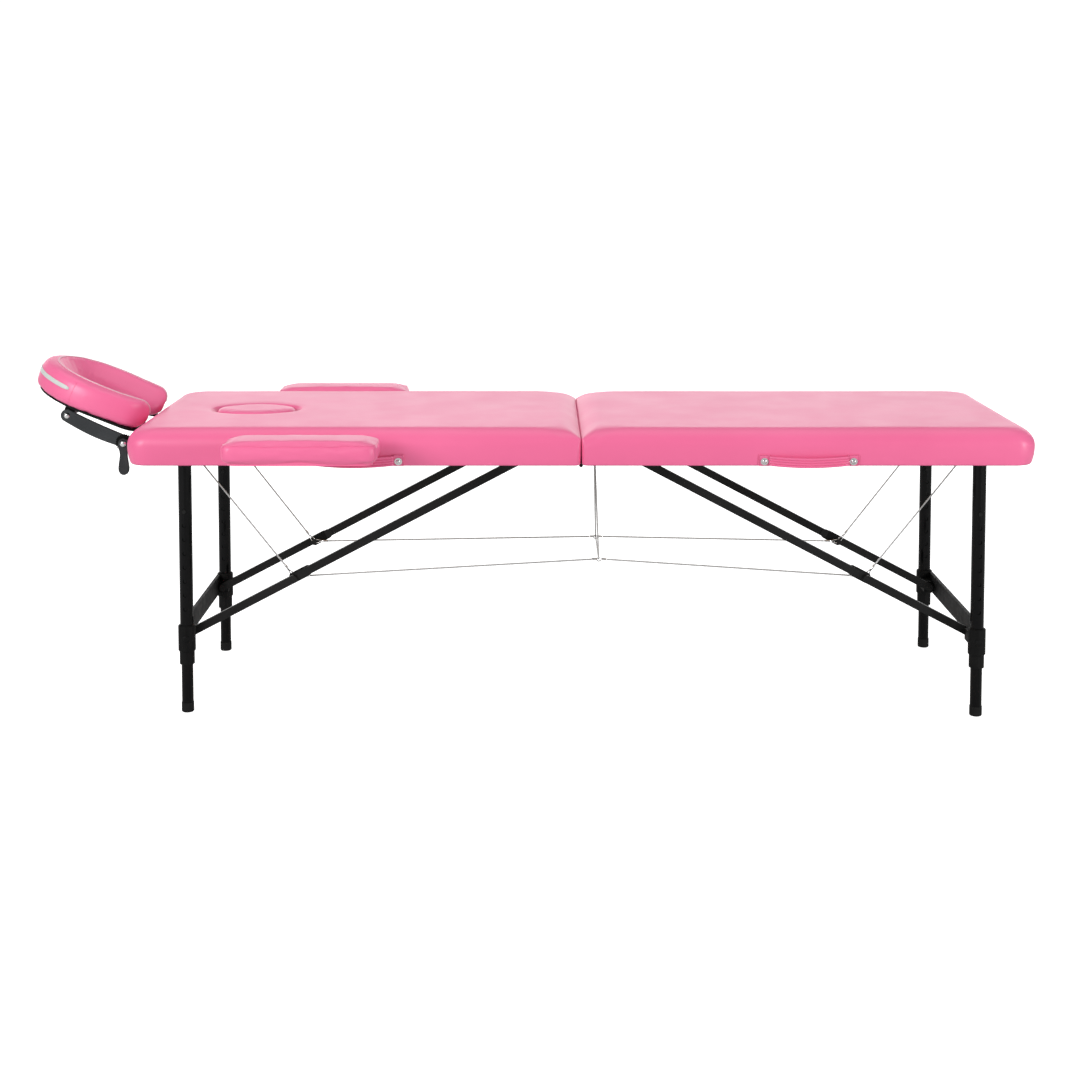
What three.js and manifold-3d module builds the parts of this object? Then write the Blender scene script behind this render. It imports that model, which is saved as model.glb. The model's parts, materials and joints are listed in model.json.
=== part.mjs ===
// Portable folding massage table: two padded halves hinged at the middle like a suitcase,
// four height-adjustable legs, folding struts with steel cables, armrests and a tilting headrest.
// Units are millimetres, +Z is up, the head end points to -X and the carry handles face -Y.
import * as THREE from 'three';
import { mergeVertices } from 'three/addons/utils/BufferGeometryUtils.js';
import Module from 'manifold-3d';

const wasm = await Module();
wasm.setup();

// ---- Driving dimensions ----

// Panels
const PANEL_LENGTH = 930;        // from the fold line to the end of one half
const PANEL_WIDTH = 600;
const TABLE_HEIGHT = 606;        // top of the pads, legs at their lowest setting
const PAD_BOTTOM = 530;          // lower edge of the cover
const PAD_EDGE_RADIUS = 32;
const PAD_CORNER_RADIUS = 42;
const SEAM_GAP = 2.5;            // from the fold line to each pad
const SKIRT = 10;                // cover and foam on the sides of the frame
const DECK_THICKNESS = 5;
const DECK_UNDERSIDE = 570.7;
const FRAME_WIDTH = 12.5;
const FRAME_BOTTOM = 531;
const FIT_GAP = 0.3;             // between pieces that touch

// Hinge at the seam
const HINGE_Z = 526.5;
const HINGE_RADIUS = 4;
const HINGE_END_INSET = 30;      // from the sides of the table to the ends of the hinge
const HINGE_PIN_RADIUS = 1.5;
const KNUCKLE_COUNT = 5;
const KNUCKLE_GAP = 0.5;
const LEAF_WIDTH = 26;
const LEAF_THICKNESS = 2.1;
const LEAF_START = 4.5;          // leaf edge beside the knuckles
const RUNNING_GAP = 0.3;         // radial clearance of the pivots

// Legs
const LEG_X = 820;               // leg axis from the fold line
const HEAD_LEG_INSET = 73.5;     // leg axis from the side; the two halves' legs pass beside each
const FOOT_LEG_INSET = 46.5;     // other while folding
const LEG_PIVOT_Z = 550;
const LEG_RADIUS = 14;
const LEG_WALL = 1.5;
const LEG_TUBE_BOTTOM = 112;
const AXLE_RADIUS = 5;
const HOLE_COUNT = 8;
const HOLE_PITCH = 29.3;
const LOWEST_HOLE_Z = 219;
const HOLE_RADIUS = 4.6;
const EXTENSION_GAP = 0.3;       // all round, inside the leg tube
const EXTENSION_WALL = 1.5;
const EXTENSION_TOP = 440;
const FOOT_HEIGHT = 20;
const FOOT_RIM = 0.9;            // foot beyond the extension tube
const FOOT_SOLE = 4;
const BUTTON_RADIUS = 4;
const BUTTON_PROUD = 1.2;
const BUTTON_LENGTH = 9;

// Leg joints and crossbar
const JOINT_TOP = 184;
const JOINT_STEP = 128;
const JOINT_BOTTOM = 102;
const JOINT_WALL = 4.3;          // beyond the leg tube
const JOINT_SLEEVE_WALL = 1.8;
const BOSS_SIZE = 24;
const CROSSBAR_GAP = 1;          // from the round end of the lower strut to the crossbar
const CROSSBAR_THICKNESS = 7;
const CROSSBAR_BOTTOM = 140;
const CROSSBAR_TOP = 182;
const CROSSBAR_END_GAP = -1;     // crossbar end, measured from the leg tube's side

// Folding struts
const STRUT_TOP_X = 72;          // upper pivot from the fold line
const STRUT_FOOT_Z = 157;        // lower pivot on the leg joint
const STRUT_HEIGHT = 17;
const STRUT_THICKNESS = 9;
const UPPER_STRUT_INSET = 120;   // middle planes of the bars from the sides
const LOWER_STRUT_INSET = 108;
const STRUT_PIN_RADIUS = 5;
const KNUCKLE_PIN_RADIUS = 4;
const STRUT_BORE_GAP = 0.35;
const STRUT_BOLT_CLEARANCE = 4;  // from the end of the bolt's bore to the leg tube
const BOLT_HEAD_RADIUS = 7;
const BOLT_HEAD_HEIGHT = 4;
const LOW_HEAD_HEIGHT = 2;
const KNEE_PLATE_LENGTH = 34;
const KNEE_PLATE_THICKNESS = 3;
const KNEE_PLATE_LIP = 2;
const MOUNT_EAR_THICKNESS = 5;
const MOUNT_BAR_HEIGHT = 4;
const MOUNT_RADIUS = 11;
const MOUNT_PIN_HEAD = 2.2;

// Cables
const CABLE_RADIUS = 1.3;
const CABLE_KNOT = [42, 110, 295];       // x, |y| and z of the two lower corners of the loop
const CABLE_ANCHOR = [34, 0, 545];       // upper corner of the loop, under the foot half
const CABLE_END_GAP = 2.2;

// Handles
const HANDLE_X = 462;
const HANDLE_LENGTH = 205;
const HANDLE_HEIGHT = 22;
const HANDLE_BOTTOM = 530;
const HANDLE_THICKNESS = 3;
const HANDLE_BOW = 13;
const HANDLE_TAB = 24;

// Face hole and plug
const FACE_HOLE_X = 705.5;
const FACE_HOLE_LENGTH = 175;
const FACE_HOLE_WIDTH = 135;
const PLUG_GAP = 1;
const PLUG_LEDGE = 8;            // ring of deck that the plug rests on

// Armrests
const ARMREST_INNER_X = 397;
const ARMREST_OUTER_X = 715;
const ARMREST_SIDE_GAP = 30;
const ARMREST_WIDTH = 120;
const ARMREST_BOTTOM = 558;
const ARMREST_TOP = 602;
const ARMREST_EDGE_RADIUS = 18;
const ARMREST_CORNER_RADIUS = 26;
const ARMREST_BOARD = 6;
const ARMREST_BOARD_INSET = 12;
const ARMREST_ROD_RADIUS = 6;
const ARMREST_ROD_Z = 546;
const ARMREST_ROD_X = [690, 583];
const ARMREST_ROD_REACH = 38;    // how far in from the side the rods go

// Headrest
const HEADREST_TILT = THREE.MathUtils.degToRad(21.4);
const HEADREST_LENGTH = 267;
const HEADREST_WIDTH = 290;
const HEADREST_BAND = 83;        // width of the horseshoe
const HEADREST_THICKNESS = 62;
const HEADREST_EDGE_RADIUS = 24;
const HEADREST_REACH = 129;      // from the end of the table to the middle of the cushion's underside
const HEADREST_Z = 620.3;
const PLATFORM_THICKNESS = 5;
const PLATFORM_BAND = 60;
const HUB_REACH = 43;
const HUB_Z = 545;
const HUB_RADIUS = 6;
const TILT_PIVOT_REACH = 168;
const TILT_PIVOT_Z = 602;
const ARM_PLATE_Y = 90.5;
const ARM_PLATE_THICKNESS = 5;
const ARM_PLATE_RADIUS = 12;
const EAR_Y = 82.5;
const EAR_THICKNESS = 5;
const EAR_RADIUS = 11;
const HEADREST_ROD_Y = 60;
const HEADREST_ROD_RADIUS = 6;
const HEADREST_ROD_REACH = 45;   // into the table
const HUB_DISC_RADIUS = 14;
const HUB_DISC_Y = 102.5;
const HUB_DISC_THICKNESS = 5;
const LEVER_Y = 111;
const LEVER_THICKNESS = 8;
const LEVER_WIDTH = 24;
const LEVER_LENGTH = 56;         // from the hub to the middle of the rounded tip

// ---- Values that follow from them ----

const HALF_WIDTH = PANEL_WIDTH / 2;
const HINGE_LENGTH = PANEL_WIDTH - 2 * HINGE_END_INSET;
const HEAD_LEG_Y = HALF_WIDTH - HEAD_LEG_INSET;
const FOOT_LEG_Y = HALF_WIDTH - FOOT_LEG_INSET;
const UPPER_STRUT_Y = HALF_WIDTH - UPPER_STRUT_INSET;
const LOWER_STRUT_Y = HALF_WIDTH - LOWER_STRUT_INSET;
const EXTENSION_RADIUS = LEG_RADIUS - LEG_WALL - EXTENSION_GAP;
const FOOT_RADIUS = EXTENSION_RADIUS + FOOT_RIM;
const JOINT_RADIUS = LEG_RADIUS + JOINT_WALL;
const JOINT_SLEEVE_RADIUS = LEG_RADIUS + JOINT_SLEEVE_WALL;
const CROSSBAR_OFFSET = STRUT_HEIGHT / 2 + CROSSBAR_GAP;      // its inner face from the leg axis
const CROSSBAR_INSET = LEG_RADIUS + CROSSBAR_END_GAP;
const ARMREST_INNER_Y = HALF_WIDTH + ARMREST_SIDE_GAP;
const ARMREST_OUTER_Y = ARMREST_INNER_Y + ARMREST_WIDTH;
const ARMREST_ROD_END = HALF_WIDTH - ARMREST_ROD_REACH;
const HEADREST_X = -(PANEL_LENGTH + HEADREST_REACH);
const HUB_X = -(PANEL_LENGTH + HUB_REACH);
const TILT_PIVOT_X = -(PANEL_LENGTH + TILT_PIVOT_REACH);
const HEADREST_ROD_END = -(PANEL_LENGTH - HEADREST_ROD_REACH);
const DECK_TOP = DECK_UNDERSIDE + DECK_THICKNESS;
const POCKET_TOP = DECK_TOP + FIT_GAP;
const POCKET_START = SEAM_GAP + SKIRT;
const POCKET_END = PANEL_LENGTH - SKIRT;
const POCKET_HALF_WIDTH = HALF_WIDTH - SKIRT;
const FRAME_TOP = DECK_UNDERSIDE - FIT_GAP;
const FRAME_HALF_WIDTH = POCKET_HALF_WIDTH - FIT_GAP;
const BUTTON_Z = LOWEST_HOLE_Z + (HOLE_COUNT - 1) * HOLE_PITCH;
const LEG_DROP = LEG_PIVOT_Z - STRUT_FOOT_Z;
const STRUT_RUN = LEG_X - STRUT_TOP_X;
const STRUT_TOTAL = Math.hypot(STRUT_RUN, LEG_DROP);
const STRUT_ANGLE = Math.atan2(LEG_DROP, STRUT_RUN);
// The bars lie flat side by side when upper minus lower is the folded distance of their ends.
const UPPER_STRUT = (STRUT_TOTAL + STRUT_RUN - LEG_DROP) / 2;
const LOWER_STRUT = STRUT_TOTAL - UPPER_STRUT;
const KNEE_X = STRUT_TOP_X + UPPER_STRUT * Math.cos(STRUT_ANGLE);
const KNEE_Z = LEG_PIVOT_Z - UPPER_STRUT * Math.sin(STRUT_ANGLE);

// ---- Materials ----

const finish = (color, roughness, metalness) =>
  new THREE.MeshStandardMaterial({ color, roughness, metalness });
const pinkVinyl = finish(0xf28ab5, 0.45, 0);
const plywood = finish(0xb8925f, 0.8, 0);
const aluminium = finish(0xb9bcc0, 0.35, 0.9);
const blackPaint = finish(0x0b0b0c, 0.2, 0.3);
const blackPlastic = finish(0x141414, 0.65, 0);
const darkMetal = finish(0x4b4d50, 0.45, 0.6);
const steel = finish(0xc8c8c8, 0.3, 0.9);

// ---- Solids: three.js geometries, joined and cut by manifold-3d ----

const BAR_SIDES = 12;
const HOLE_SIDES = 8;
const TUBE_SIDES = 16;
const WIRE_SIDES = 8;
const EDGE_STEPS = 3;            // facets across a rounded edge
const CORNER_STEPS = 3;
const LINK_STEPS = 6;
const HORSESHOE_STEPS = 8;

function solid(geometry) {
  const bare = new THREE.BufferGeometry();
  bare.setAttribute('position', geometry.getAttribute('position'));
  if (geometry.index) bare.setIndex(geometry.index);
  const merged = mergeVertices(bare, 1e-3);
  const index = merged.index.array;
  const triangles = [];
  for (let i = 0; i < index.length; i += 3) {
    const [a, b, c] = [index[i], index[i + 1], index[i + 2]];
    if (a !== b && b !== c && c !== a) triangles.push(a, b, c);
  }
  const position = merged.getAttribute('position').array;
  const mesh = new wasm.Mesh({
    numProp: 3,
    vertProperties: new Float32Array(position),
    triVerts: new Uint32Array(triangles),
  });
  return new wasm.Manifold(mesh);
}

function box(x0, x1, y0, y1, z0, z1) {
  const geometry = new THREE.BoxGeometry(x1 - x0, y1 - y0, z1 - z0);
  return solid(geometry.translate((x0 + x1) / 2, (y0 + y1) / 2, (z0 + z1) / 2));
}

// A round bar along Y between two values of y.
function barY(radius, x, z, ya, yb, sides = BAR_SIDES) {
  const geometry = new THREE.CylinderGeometry(radius, radius, Math.abs(yb - ya), sides);
  return solid(geometry.translate(x, (ya + yb) / 2, z));
}

// A round bar along X between two values of x.
function barX(radius, y, z, xa, xb, sides = BAR_SIDES) {
  const geometry = new THREE.CylinderGeometry(radius, radius, Math.abs(xb - xa), sides);
  return solid(geometry.rotateZ(Math.PI / 2).translate((xa + xb) / 2, y, z));
}

// A turned piece around a vertical axis, from a closed profile of [radius, height] corners.
function turned(profile, x, y, sides = TUBE_SIDES) {
  const points = [...profile, profile[0]].map(([radius, height]) => new THREE.Vector2(radius, height));
  return solid(new THREE.LatheGeometry(points, sides).rotateX(Math.PI / 2).translate(x, y, 0));
}

function tubeZ(outer, inner, x, y, bottom, top) {
  return turned([[outer, bottom], [outer, top], [inner, top], [inner, bottom]], x, y);
}

// A straight wire between two points, with a round joint at its far end.
function wire(from, to) {
  const start = new THREE.Vector3(...from);
  const end = new THREE.Vector3(...to);
  const along = end.clone().sub(start);
  const geometry = new THREE.CylinderGeometry(CABLE_RADIUS, CABLE_RADIUS, along.length(), WIRE_SIDES);
  const turn = new THREE.Quaternion().setFromUnitVectors(new THREE.Vector3(0, 1, 0), along.normalize());
  geometry.applyQuaternion(turn);
  const middle = start.add(end).multiplyScalar(0.5);
  return solid(geometry.translate(middle.x, middle.y, middle.z));
}

function ball(radius, at) {
  return solid(new THREE.SphereGeometry(radius, WIRE_SIDES, 4).translate(...at));
}

function roundedRectangle(x0, x1, y0, y1, radius) {
  const shape = new THREE.Shape();
  shape.absarc(x1 - radius, y1 - radius, radius, 0, Math.PI / 2);
  shape.absarc(x0 + radius, y1 - radius, radius, Math.PI / 2, Math.PI);
  shape.absarc(x0 + radius, y0 + radius, radius, Math.PI, Math.PI * 1.5);
  shape.absarc(x1 - radius, y0 + radius, radius, Math.PI * 1.5, Math.PI * 2);
  shape.closePath();
  return shape;
}

function ellipse(x, length, width) {
  const shape = new THREE.Shape();
  shape.absellipse(x, 0, length / 2, width / 2, 0, Math.PI * 2);
  return shape;
}

function extruded(shape, depth, curveSegments = 12) {
  return new THREE.ExtrudeGeometry(shape, { depth, curveSegments, bevelEnabled: false });
}

// A block with rounded plan corners and rounded edges, from z0 to z1.
function softBlock(x0, x1, y0, y1, z0, z1, cornerRadius, edgeRadius) {
  const shape = roundedRectangle(
    x0 + edgeRadius, x1 - edgeRadius, y0 + edgeRadius, y1 - edgeRadius, cornerRadius - edgeRadius);
  const geometry = new THREE.ExtrudeGeometry(shape, {
    depth: z1 - z0 - 2 * edgeRadius,
    bevelThickness: edgeRadius,
    bevelSize: edgeRadius,
    bevelSegments: EDGE_STEPS,
    curveSegments: CORNER_STEPS,
  });
  return solid(geometry.translate(0, 0, z0 + edgeRadius));
}

// A flat bar with round ends in the XZ plane, from one pivot to another.
function link(xa, za, xb, zb, radius, ya, yb) {
  const length = Math.hypot(xb - xa, zb - za);
  const shape = new THREE.Shape();
  shape.absarc(0, 0, radius, Math.PI / 2, Math.PI * 1.5);
  shape.absarc(length, 0, radius, -Math.PI / 2, Math.PI / 2);
  shape.closePath();
  const geometry = extruded(shape, Math.abs(yb - ya), LINK_STEPS);
  geometry.rotateX(Math.PI / 2).translate(0, Math.max(ya, yb), 0);
  geometry.rotateY(-Math.atan2(zb - za, xb - xa)).translate(xa, 0, za);
  return solid(geometry);
}

function place(parent, name, body, material) {
  const { vertProperties, triVerts } = body.getMesh();
  const geometry = new THREE.BufferGeometry();
  geometry.setAttribute('position', new THREE.BufferAttribute(new Float32Array(vertProperties), 3));
  geometry.setIndex(new THREE.BufferAttribute(new Uint32Array(triVerts), 1));
  const mesh = new THREE.Mesh(geometry, material);
  mesh.name = name;
  parent.add(mesh);
}

// ---- Panels. Each half is drawn outward from the fold line along +X. ----

function armrestBores(grow) {
  const bores = [];
  for (const x of ARMREST_ROD_X) {
    bores.push(barY(ARMREST_ROD_RADIUS + grow, x, ARMREST_ROD_Z, -HALF_WIDTH - 1, HALF_WIDTH + 1));
  }
  return bores;
}

function headrestBores(grow) {
  const bores = [];
  for (const y of [-HEADREST_ROD_Y, HEADREST_ROD_Y]) {
    bores.push(barX(HEADREST_ROD_RADIUS + grow, y, HUB_Z, -HEADREST_ROD_END, PANEL_LENGTH + 1));
  }
  return bores;
}

function cutAll(body, cutters) {
  return cutters.reduce((rest, cutter) => rest.subtract(cutter), body);
}

function pad(hasFaceHole) {
  const blockHeight = TABLE_HEIGHT - PAD_BOTTOM + PAD_EDGE_RADIUS;
  let body = softBlock(SEAM_GAP, PANEL_LENGTH, -HALF_WIDTH, HALF_WIDTH,
    TABLE_HEIGHT - blockHeight, TABLE_HEIGHT, PAD_CORNER_RADIUS, PAD_EDGE_RADIUS);
  body = body.subtract(box(0, PANEL_LENGTH + 1, -HALF_WIDTH - 1, HALF_WIDTH + 1,
    PAD_BOTTOM - PAD_EDGE_RADIUS - 1, PAD_BOTTOM));
  body = body.subtract(box(POCKET_START, POCKET_END, -POCKET_HALF_WIDTH, POCKET_HALF_WIDTH,
    PAD_BOTTOM - 1, POCKET_TOP));
  if (hasFaceHole) {
    const hole = extruded(ellipse(FACE_HOLE_X, FACE_HOLE_LENGTH, FACE_HOLE_WIDTH),
      TABLE_HEIGHT - PAD_BOTTOM);
    body = body.subtract(solid(hole.translate(0, 0, POCKET_TOP - 1)));
    body = cutAll(body, [...armrestBores(RUNNING_GAP), ...headrestBores(RUNNING_GAP)]);
  }
  return body;
}

function deck(hasFaceHole) {
  const body = box(POCKET_START + FIT_GAP, POCKET_END - FIT_GAP,
    -FRAME_HALF_WIDTH, FRAME_HALF_WIDTH, DECK_UNDERSIDE, DECK_TOP);
  if (!hasFaceHole) return body;
  const hole = extruded(ellipse(FACE_HOLE_X, FACE_HOLE_LENGTH - 2 * PLUG_LEDGE,
    FACE_HOLE_WIDTH - 2 * PLUG_LEDGE), DECK_THICKNESS + 2);
  return body.subtract(solid(hole.translate(0, 0, DECK_UNDERSIDE - 1)));
}

function frame(hasSockets) {
  const start = POCKET_START + FIT_GAP;
  const end = POCKET_END - FIT_GAP;
  const inner = FRAME_HALF_WIDTH - FRAME_WIDTH;
  let body = box(start, end, -FRAME_HALF_WIDTH, FRAME_HALF_WIDTH, FRAME_BOTTOM, FRAME_TOP);
  body = body.subtract(box(start + FRAME_WIDTH, end - FRAME_WIDTH, -inner, inner,
    FRAME_BOTTOM - 1, FRAME_TOP + 1));
  if (!hasSockets) return body;
  return cutAll(body, [...armrestBores(RUNNING_GAP), ...headrestBores(RUNNING_GAP)]);
}

// One leaf of the piano hinge with every second knuckle, starting at the given one.
function hingeLeaf(firstKnuckle) {
  const leafBottom = PAD_BOTTOM - FIT_GAP - LEAF_THICKNESS;
  const leafTop = PAD_BOTTOM - FIT_GAP;
  const pitch = HINGE_LENGTH / KNUCKLE_COUNT;
  let body = box(LEAF_START, LEAF_START + LEAF_WIDTH, -HINGE_LENGTH / 2, HINGE_LENGTH / 2,
    leafBottom, leafTop);
  for (let i = firstKnuckle; i < KNUCKLE_COUNT; i += 2) {
    const ya = -HINGE_LENGTH / 2 + i * pitch + KNUCKLE_GAP / 2;
    const yb = ya + pitch - KNUCKLE_GAP;
    body = body.add(barY(HINGE_RADIUS, 0, HINGE_Z, ya, yb));
    body = body.add(box(0, LEAF_START + 1, ya, yb, leafBottom, leafTop));
  }
  return body.subtract(barY(HINGE_PIN_RADIUS + RUNNING_GAP, 0, HINGE_Z,
    -HINGE_LENGTH, HINGE_LENGTH));
}

function legAxle() {
  const reach = FRAME_HALF_WIDTH - FRAME_WIDTH - FIT_GAP;
  return barY(AXLE_RADIUS, LEG_X, LEG_PIVOT_Z, -reach, reach);
}

// A bar under the deck with two ears; each ear carries the pin of one upper strut.
function strutMount() {
  const innerFace = UPPER_STRUT_Y - STRUT_THICKNESS / 2;
  const outerFace = UPPER_STRUT_Y + STRUT_THICKNESS / 2;
  const top = FRAME_TOP;
  let body = box(STRUT_TOP_X - MOUNT_RADIUS, STRUT_TOP_X + MOUNT_RADIUS, -innerFace, innerFace,
    top - MOUNT_BAR_HEIGHT, top);
  for (const side of [-1, 1]) {
    const earOuter = side * (innerFace - 1);
    const earInner = side * (innerFace - 1 - MOUNT_EAR_THICKNESS);
    const headStart = outerFace + FIT_GAP * 2;
    body = body.add(link(STRUT_TOP_X, LEG_PIVOT_Z, STRUT_TOP_X, top - MOUNT_RADIUS, MOUNT_RADIUS,
      earInner, earOuter));
    body = body.add(barY(STRUT_PIN_RADIUS, STRUT_TOP_X, LEG_PIVOT_Z, earInner, side * (headStart + 1)));
    body = body.add(barY(BOLT_HEAD_RADIUS, STRUT_TOP_X, LEG_PIVOT_Z, side * headStart,
      side * (headStart + MOUNT_PIN_HEAD)));
  }
  return body;
}

// ---- Legs ----

// Holes and buttons face the front of the table, which is y * front.
function legTube(y, front) {
  const top = LEG_PIVOT_Z + LEG_RADIUS;
  let body = tubeZ(LEG_RADIUS, LEG_RADIUS - LEG_WALL, LEG_X, y, LEG_TUBE_BOTTOM + FIT_GAP, top);
  body = body.subtract(barY(AXLE_RADIUS + RUNNING_GAP, LEG_X, LEG_PIVOT_Z,
    y - LEG_RADIUS - 1, y + LEG_RADIUS + 1));
  for (let i = 0; i < HOLE_COUNT; i += 1) {
    body = body.subtract(barY(HOLE_RADIUS, LEG_X, LOWEST_HOLE_Z + i * HOLE_PITCH,
      y, y + front * (LEG_RADIUS + 1), HOLE_SIDES));
  }
  return body;
}

function crossbarBox(legY, grow) {
  const reach = legY - CROSSBAR_INSET + grow;
  return box(LEG_X + CROSSBAR_OFFSET - grow, LEG_X + CROSSBAR_OFFSET + CROSSBAR_THICKNESS + grow,
    -reach, reach, CROSSBAR_BOTTOM - grow, CROSSBAR_TOP + grow);
}

// A moulded sleeve round the tube's lower end, with a boss for the strut and a slot for the crossbar.
function legJoint(y, legY) {
  const side = Math.sign(y);
  const bore = LEG_RADIUS + FIT_GAP;
  let body = turned([
    [JOINT_SLEEVE_RADIUS, JOINT_BOTTOM], [JOINT_SLEEVE_RADIUS, JOINT_STEP],
    [JOINT_RADIUS, JOINT_STEP + 3], [JOINT_RADIUS, JOINT_TOP - 2], [JOINT_RADIUS - 2, JOINT_TOP],
    [bore, JOINT_TOP], [bore, LEG_TUBE_BOTTOM],
    [EXTENSION_RADIUS + RUNNING_GAP, LEG_TUBE_BOTTOM],
    [EXTENSION_RADIUS + RUNNING_GAP, JOINT_BOTTOM],
  ], LEG_X, y);
  const bossInner = LOWER_STRUT_Y + STRUT_THICKNESS / 2 + 1;
  const bossOuter = legY - bore;
  const [ya, yb] = [side * bossInner, side * bossOuter].sort((a, b) => a - b);
  let boss = box(LEG_X - BOSS_SIZE / 2, LEG_X + BOSS_SIZE / 2, ya, yb,
    STRUT_FOOT_Z - BOSS_SIZE / 2, STRUT_FOOT_Z + BOSS_SIZE / 2);
  boss = boss.subtract(tubeZ(bore + 0.01, 1, LEG_X, y, JOINT_BOTTOM, JOINT_TOP + 1));
  body = body.add(boss);
  body = body.subtract(barY(KNUCKLE_PIN_RADIUS + STRUT_BORE_GAP, LEG_X, STRUT_FOOT_Z,
    side * (bossInner - 1), side * (legY - LEG_RADIUS - STRUT_BOLT_CLEARANCE)));
  return body.subtract(crossbarBox(legY, FIT_GAP));
}

function extension(y, front) {
  const body = tubeZ(EXTENSION_RADIUS, EXTENSION_RADIUS - EXTENSION_WALL, LEG_X, y,
    FOOT_SOLE + FIT_GAP, EXTENSION_TOP);
  return body.subtract(barY(BUTTON_RADIUS + RUNNING_GAP, LEG_X, BUTTON_Z,
    y, y + front * (EXTENSION_RADIUS + 1)));
}

function foot(y) {
  const wall = EXTENSION_RADIUS + FIT_GAP;
  return turned([[0, 0], [FOOT_RADIUS - 1.5, 0], [FOOT_RADIUS, 2], [FOOT_RADIUS, FOOT_HEIGHT],
    [wall, FOOT_HEIGHT], [wall, FOOT_SOLE], [0, FOOT_SOLE]], LEG_X, y);
}

function button(y, front) {
  const tip = LEG_RADIUS + BUTTON_PROUD;
  return barY(BUTTON_RADIUS, LEG_X, BUTTON_Z, y + front * (tip - BUTTON_LENGTH), y + front * tip);
}

// ---- Struts ----

function upperStrut(side) {
  const ya = side * (UPPER_STRUT_Y - STRUT_THICKNESS / 2);
  const yb = side * (UPPER_STRUT_Y + STRUT_THICKNESS / 2);
  const half = STRUT_HEIGHT / 2;
  let body = link(STRUT_TOP_X, LEG_PIVOT_Z, KNEE_X, KNEE_Z, half, ya, yb);
  body = body.subtract(barY(STRUT_PIN_RADIUS + STRUT_BORE_GAP, STRUT_TOP_X, LEG_PIVOT_Z,
    ya - side, yb + side));
  // knuckle plate on the inner face, and the bolt end in the gap towards the lower bar
  const plateX = KNEE_X - KNEE_PLATE_LENGTH * Math.cos(STRUT_ANGLE);
  const plateZ = KNEE_Z + KNEE_PLATE_LENGTH * Math.sin(STRUT_ANGLE);
  const plateFace = ya - side * KNEE_PLATE_THICKNESS;
  body = body.add(link(plateX, plateZ, KNEE_X, KNEE_Z, half + KNEE_PLATE_LIP, ya + side, plateFace));
  const boltEnd = side * (LOWER_STRUT_Y - STRUT_THICKNESS / 2 - FIT_GAP * 2);
  return body.add(barY(BOLT_HEAD_RADIUS, KNEE_X, KNEE_Z, plateFace - side * BOLT_HEAD_HEIGHT, boltEnd));
}

function lowerStrut(side, legY) {
  const inner = side * (LOWER_STRUT_Y - STRUT_THICKNESS / 2);
  const outer = side * (LOWER_STRUT_Y + STRUT_THICKNESS / 2);
  let body = link(KNEE_X, KNEE_Z, LEG_X, STRUT_FOOT_Z, STRUT_HEIGHT / 2, inner, outer);
  body = body.subtract(barY(KNUCKLE_PIN_RADIUS + STRUT_BORE_GAP, KNEE_X, KNEE_Z,
    inner - side, outer + side));
  // the bolt into the leg joint's boss
  const boltEnd = side * (legY - LEG_RADIUS - STRUT_BOLT_CLEARANCE - 1);
  body = body.add(barY(KNUCKLE_PIN_RADIUS, LEG_X, STRUT_FOOT_Z, inner, boltEnd));
  return body.add(barY(BOLT_HEAD_RADIUS, LEG_X, STRUT_FOOT_Z, inner - side * LOW_HEAD_HEIGHT, inner + side));
}

// ---- Cables ----

// From the leg axle over the knuckle to the corner of the middle loop. knotX is that corner's
// distance from the fold line, measured outward along this half.
function sideCable(side, knotX) {
  const y = UPPER_STRUT_Y - STRUT_THICKNESS / 2 - 9;
  const axle = [LEG_X - 2, side * (y + 8), LEG_PIVOT_Z - AXLE_RADIUS - CABLE_RADIUS - 1];
  const knuckle = [KNEE_X - 2, side * y, KNEE_Z + 12];
  const knot = [knotX, side * CABLE_KNOT[1], CABLE_KNOT[2]];
  return wire(axle, knuckle).add(ball(CABLE_RADIUS, knuckle)).add(wire(knuckle, knot));
}

function middleLoop() {
  const corners = [-1, 1].map((side) => [CABLE_KNOT[0], side * CABLE_KNOT[1], CABLE_KNOT[2]]);
  let body = wire(corners[0], corners[1]);
  for (const corner of corners) {
    body = body.add(wire(CABLE_ANCHOR, corner)).add(ball(CABLE_RADIUS, corner));
  }
  return body.add(ball(CABLE_RADIUS, CABLE_ANCHOR));
}

// ---- Handle ----

// A strap with flat ends on the side of the panel, bowed outward in between.
function handle(front) {
  const half = HANDLE_LENGTH / 2;
  const near = HALF_WIDTH + FIT_GAP;
  const far = near + HANDLE_BOW;
  const outline = (offset) => {
    const bend = new THREE.CubicBezierCurve(
      new THREE.Vector2(-half + HANDLE_TAB, near + offset),
      new THREE.Vector2(-half + HANDLE_TAB + 30, near + offset),
      new THREE.Vector2(-half + HANDLE_TAB + 20, far + offset),
      new THREE.Vector2(0, far + offset));
    const rise = bend.getPoints(8);
    const fall = rise.slice(0, -1).reverse().map((point) => new THREE.Vector2(-point.x, point.y));
    return [new THREE.Vector2(-half, near + offset), ...rise, ...fall, new THREE.Vector2(half, near + offset)];
  };
  const shape = new THREE.Shape([...outline(0), ...outline(HANDLE_THICKNESS).reverse()]);
  const geometry = extruded(shape, HANDLE_HEIGHT).translate(HANDLE_X, 0, HANDLE_BOTTOM);
  if (front < 0) geometry.rotateZ(Math.PI).translate(2 * HANDLE_X, 0, 0);
  return solid(geometry);
}

// ---- Assembly of one half ----

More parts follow.
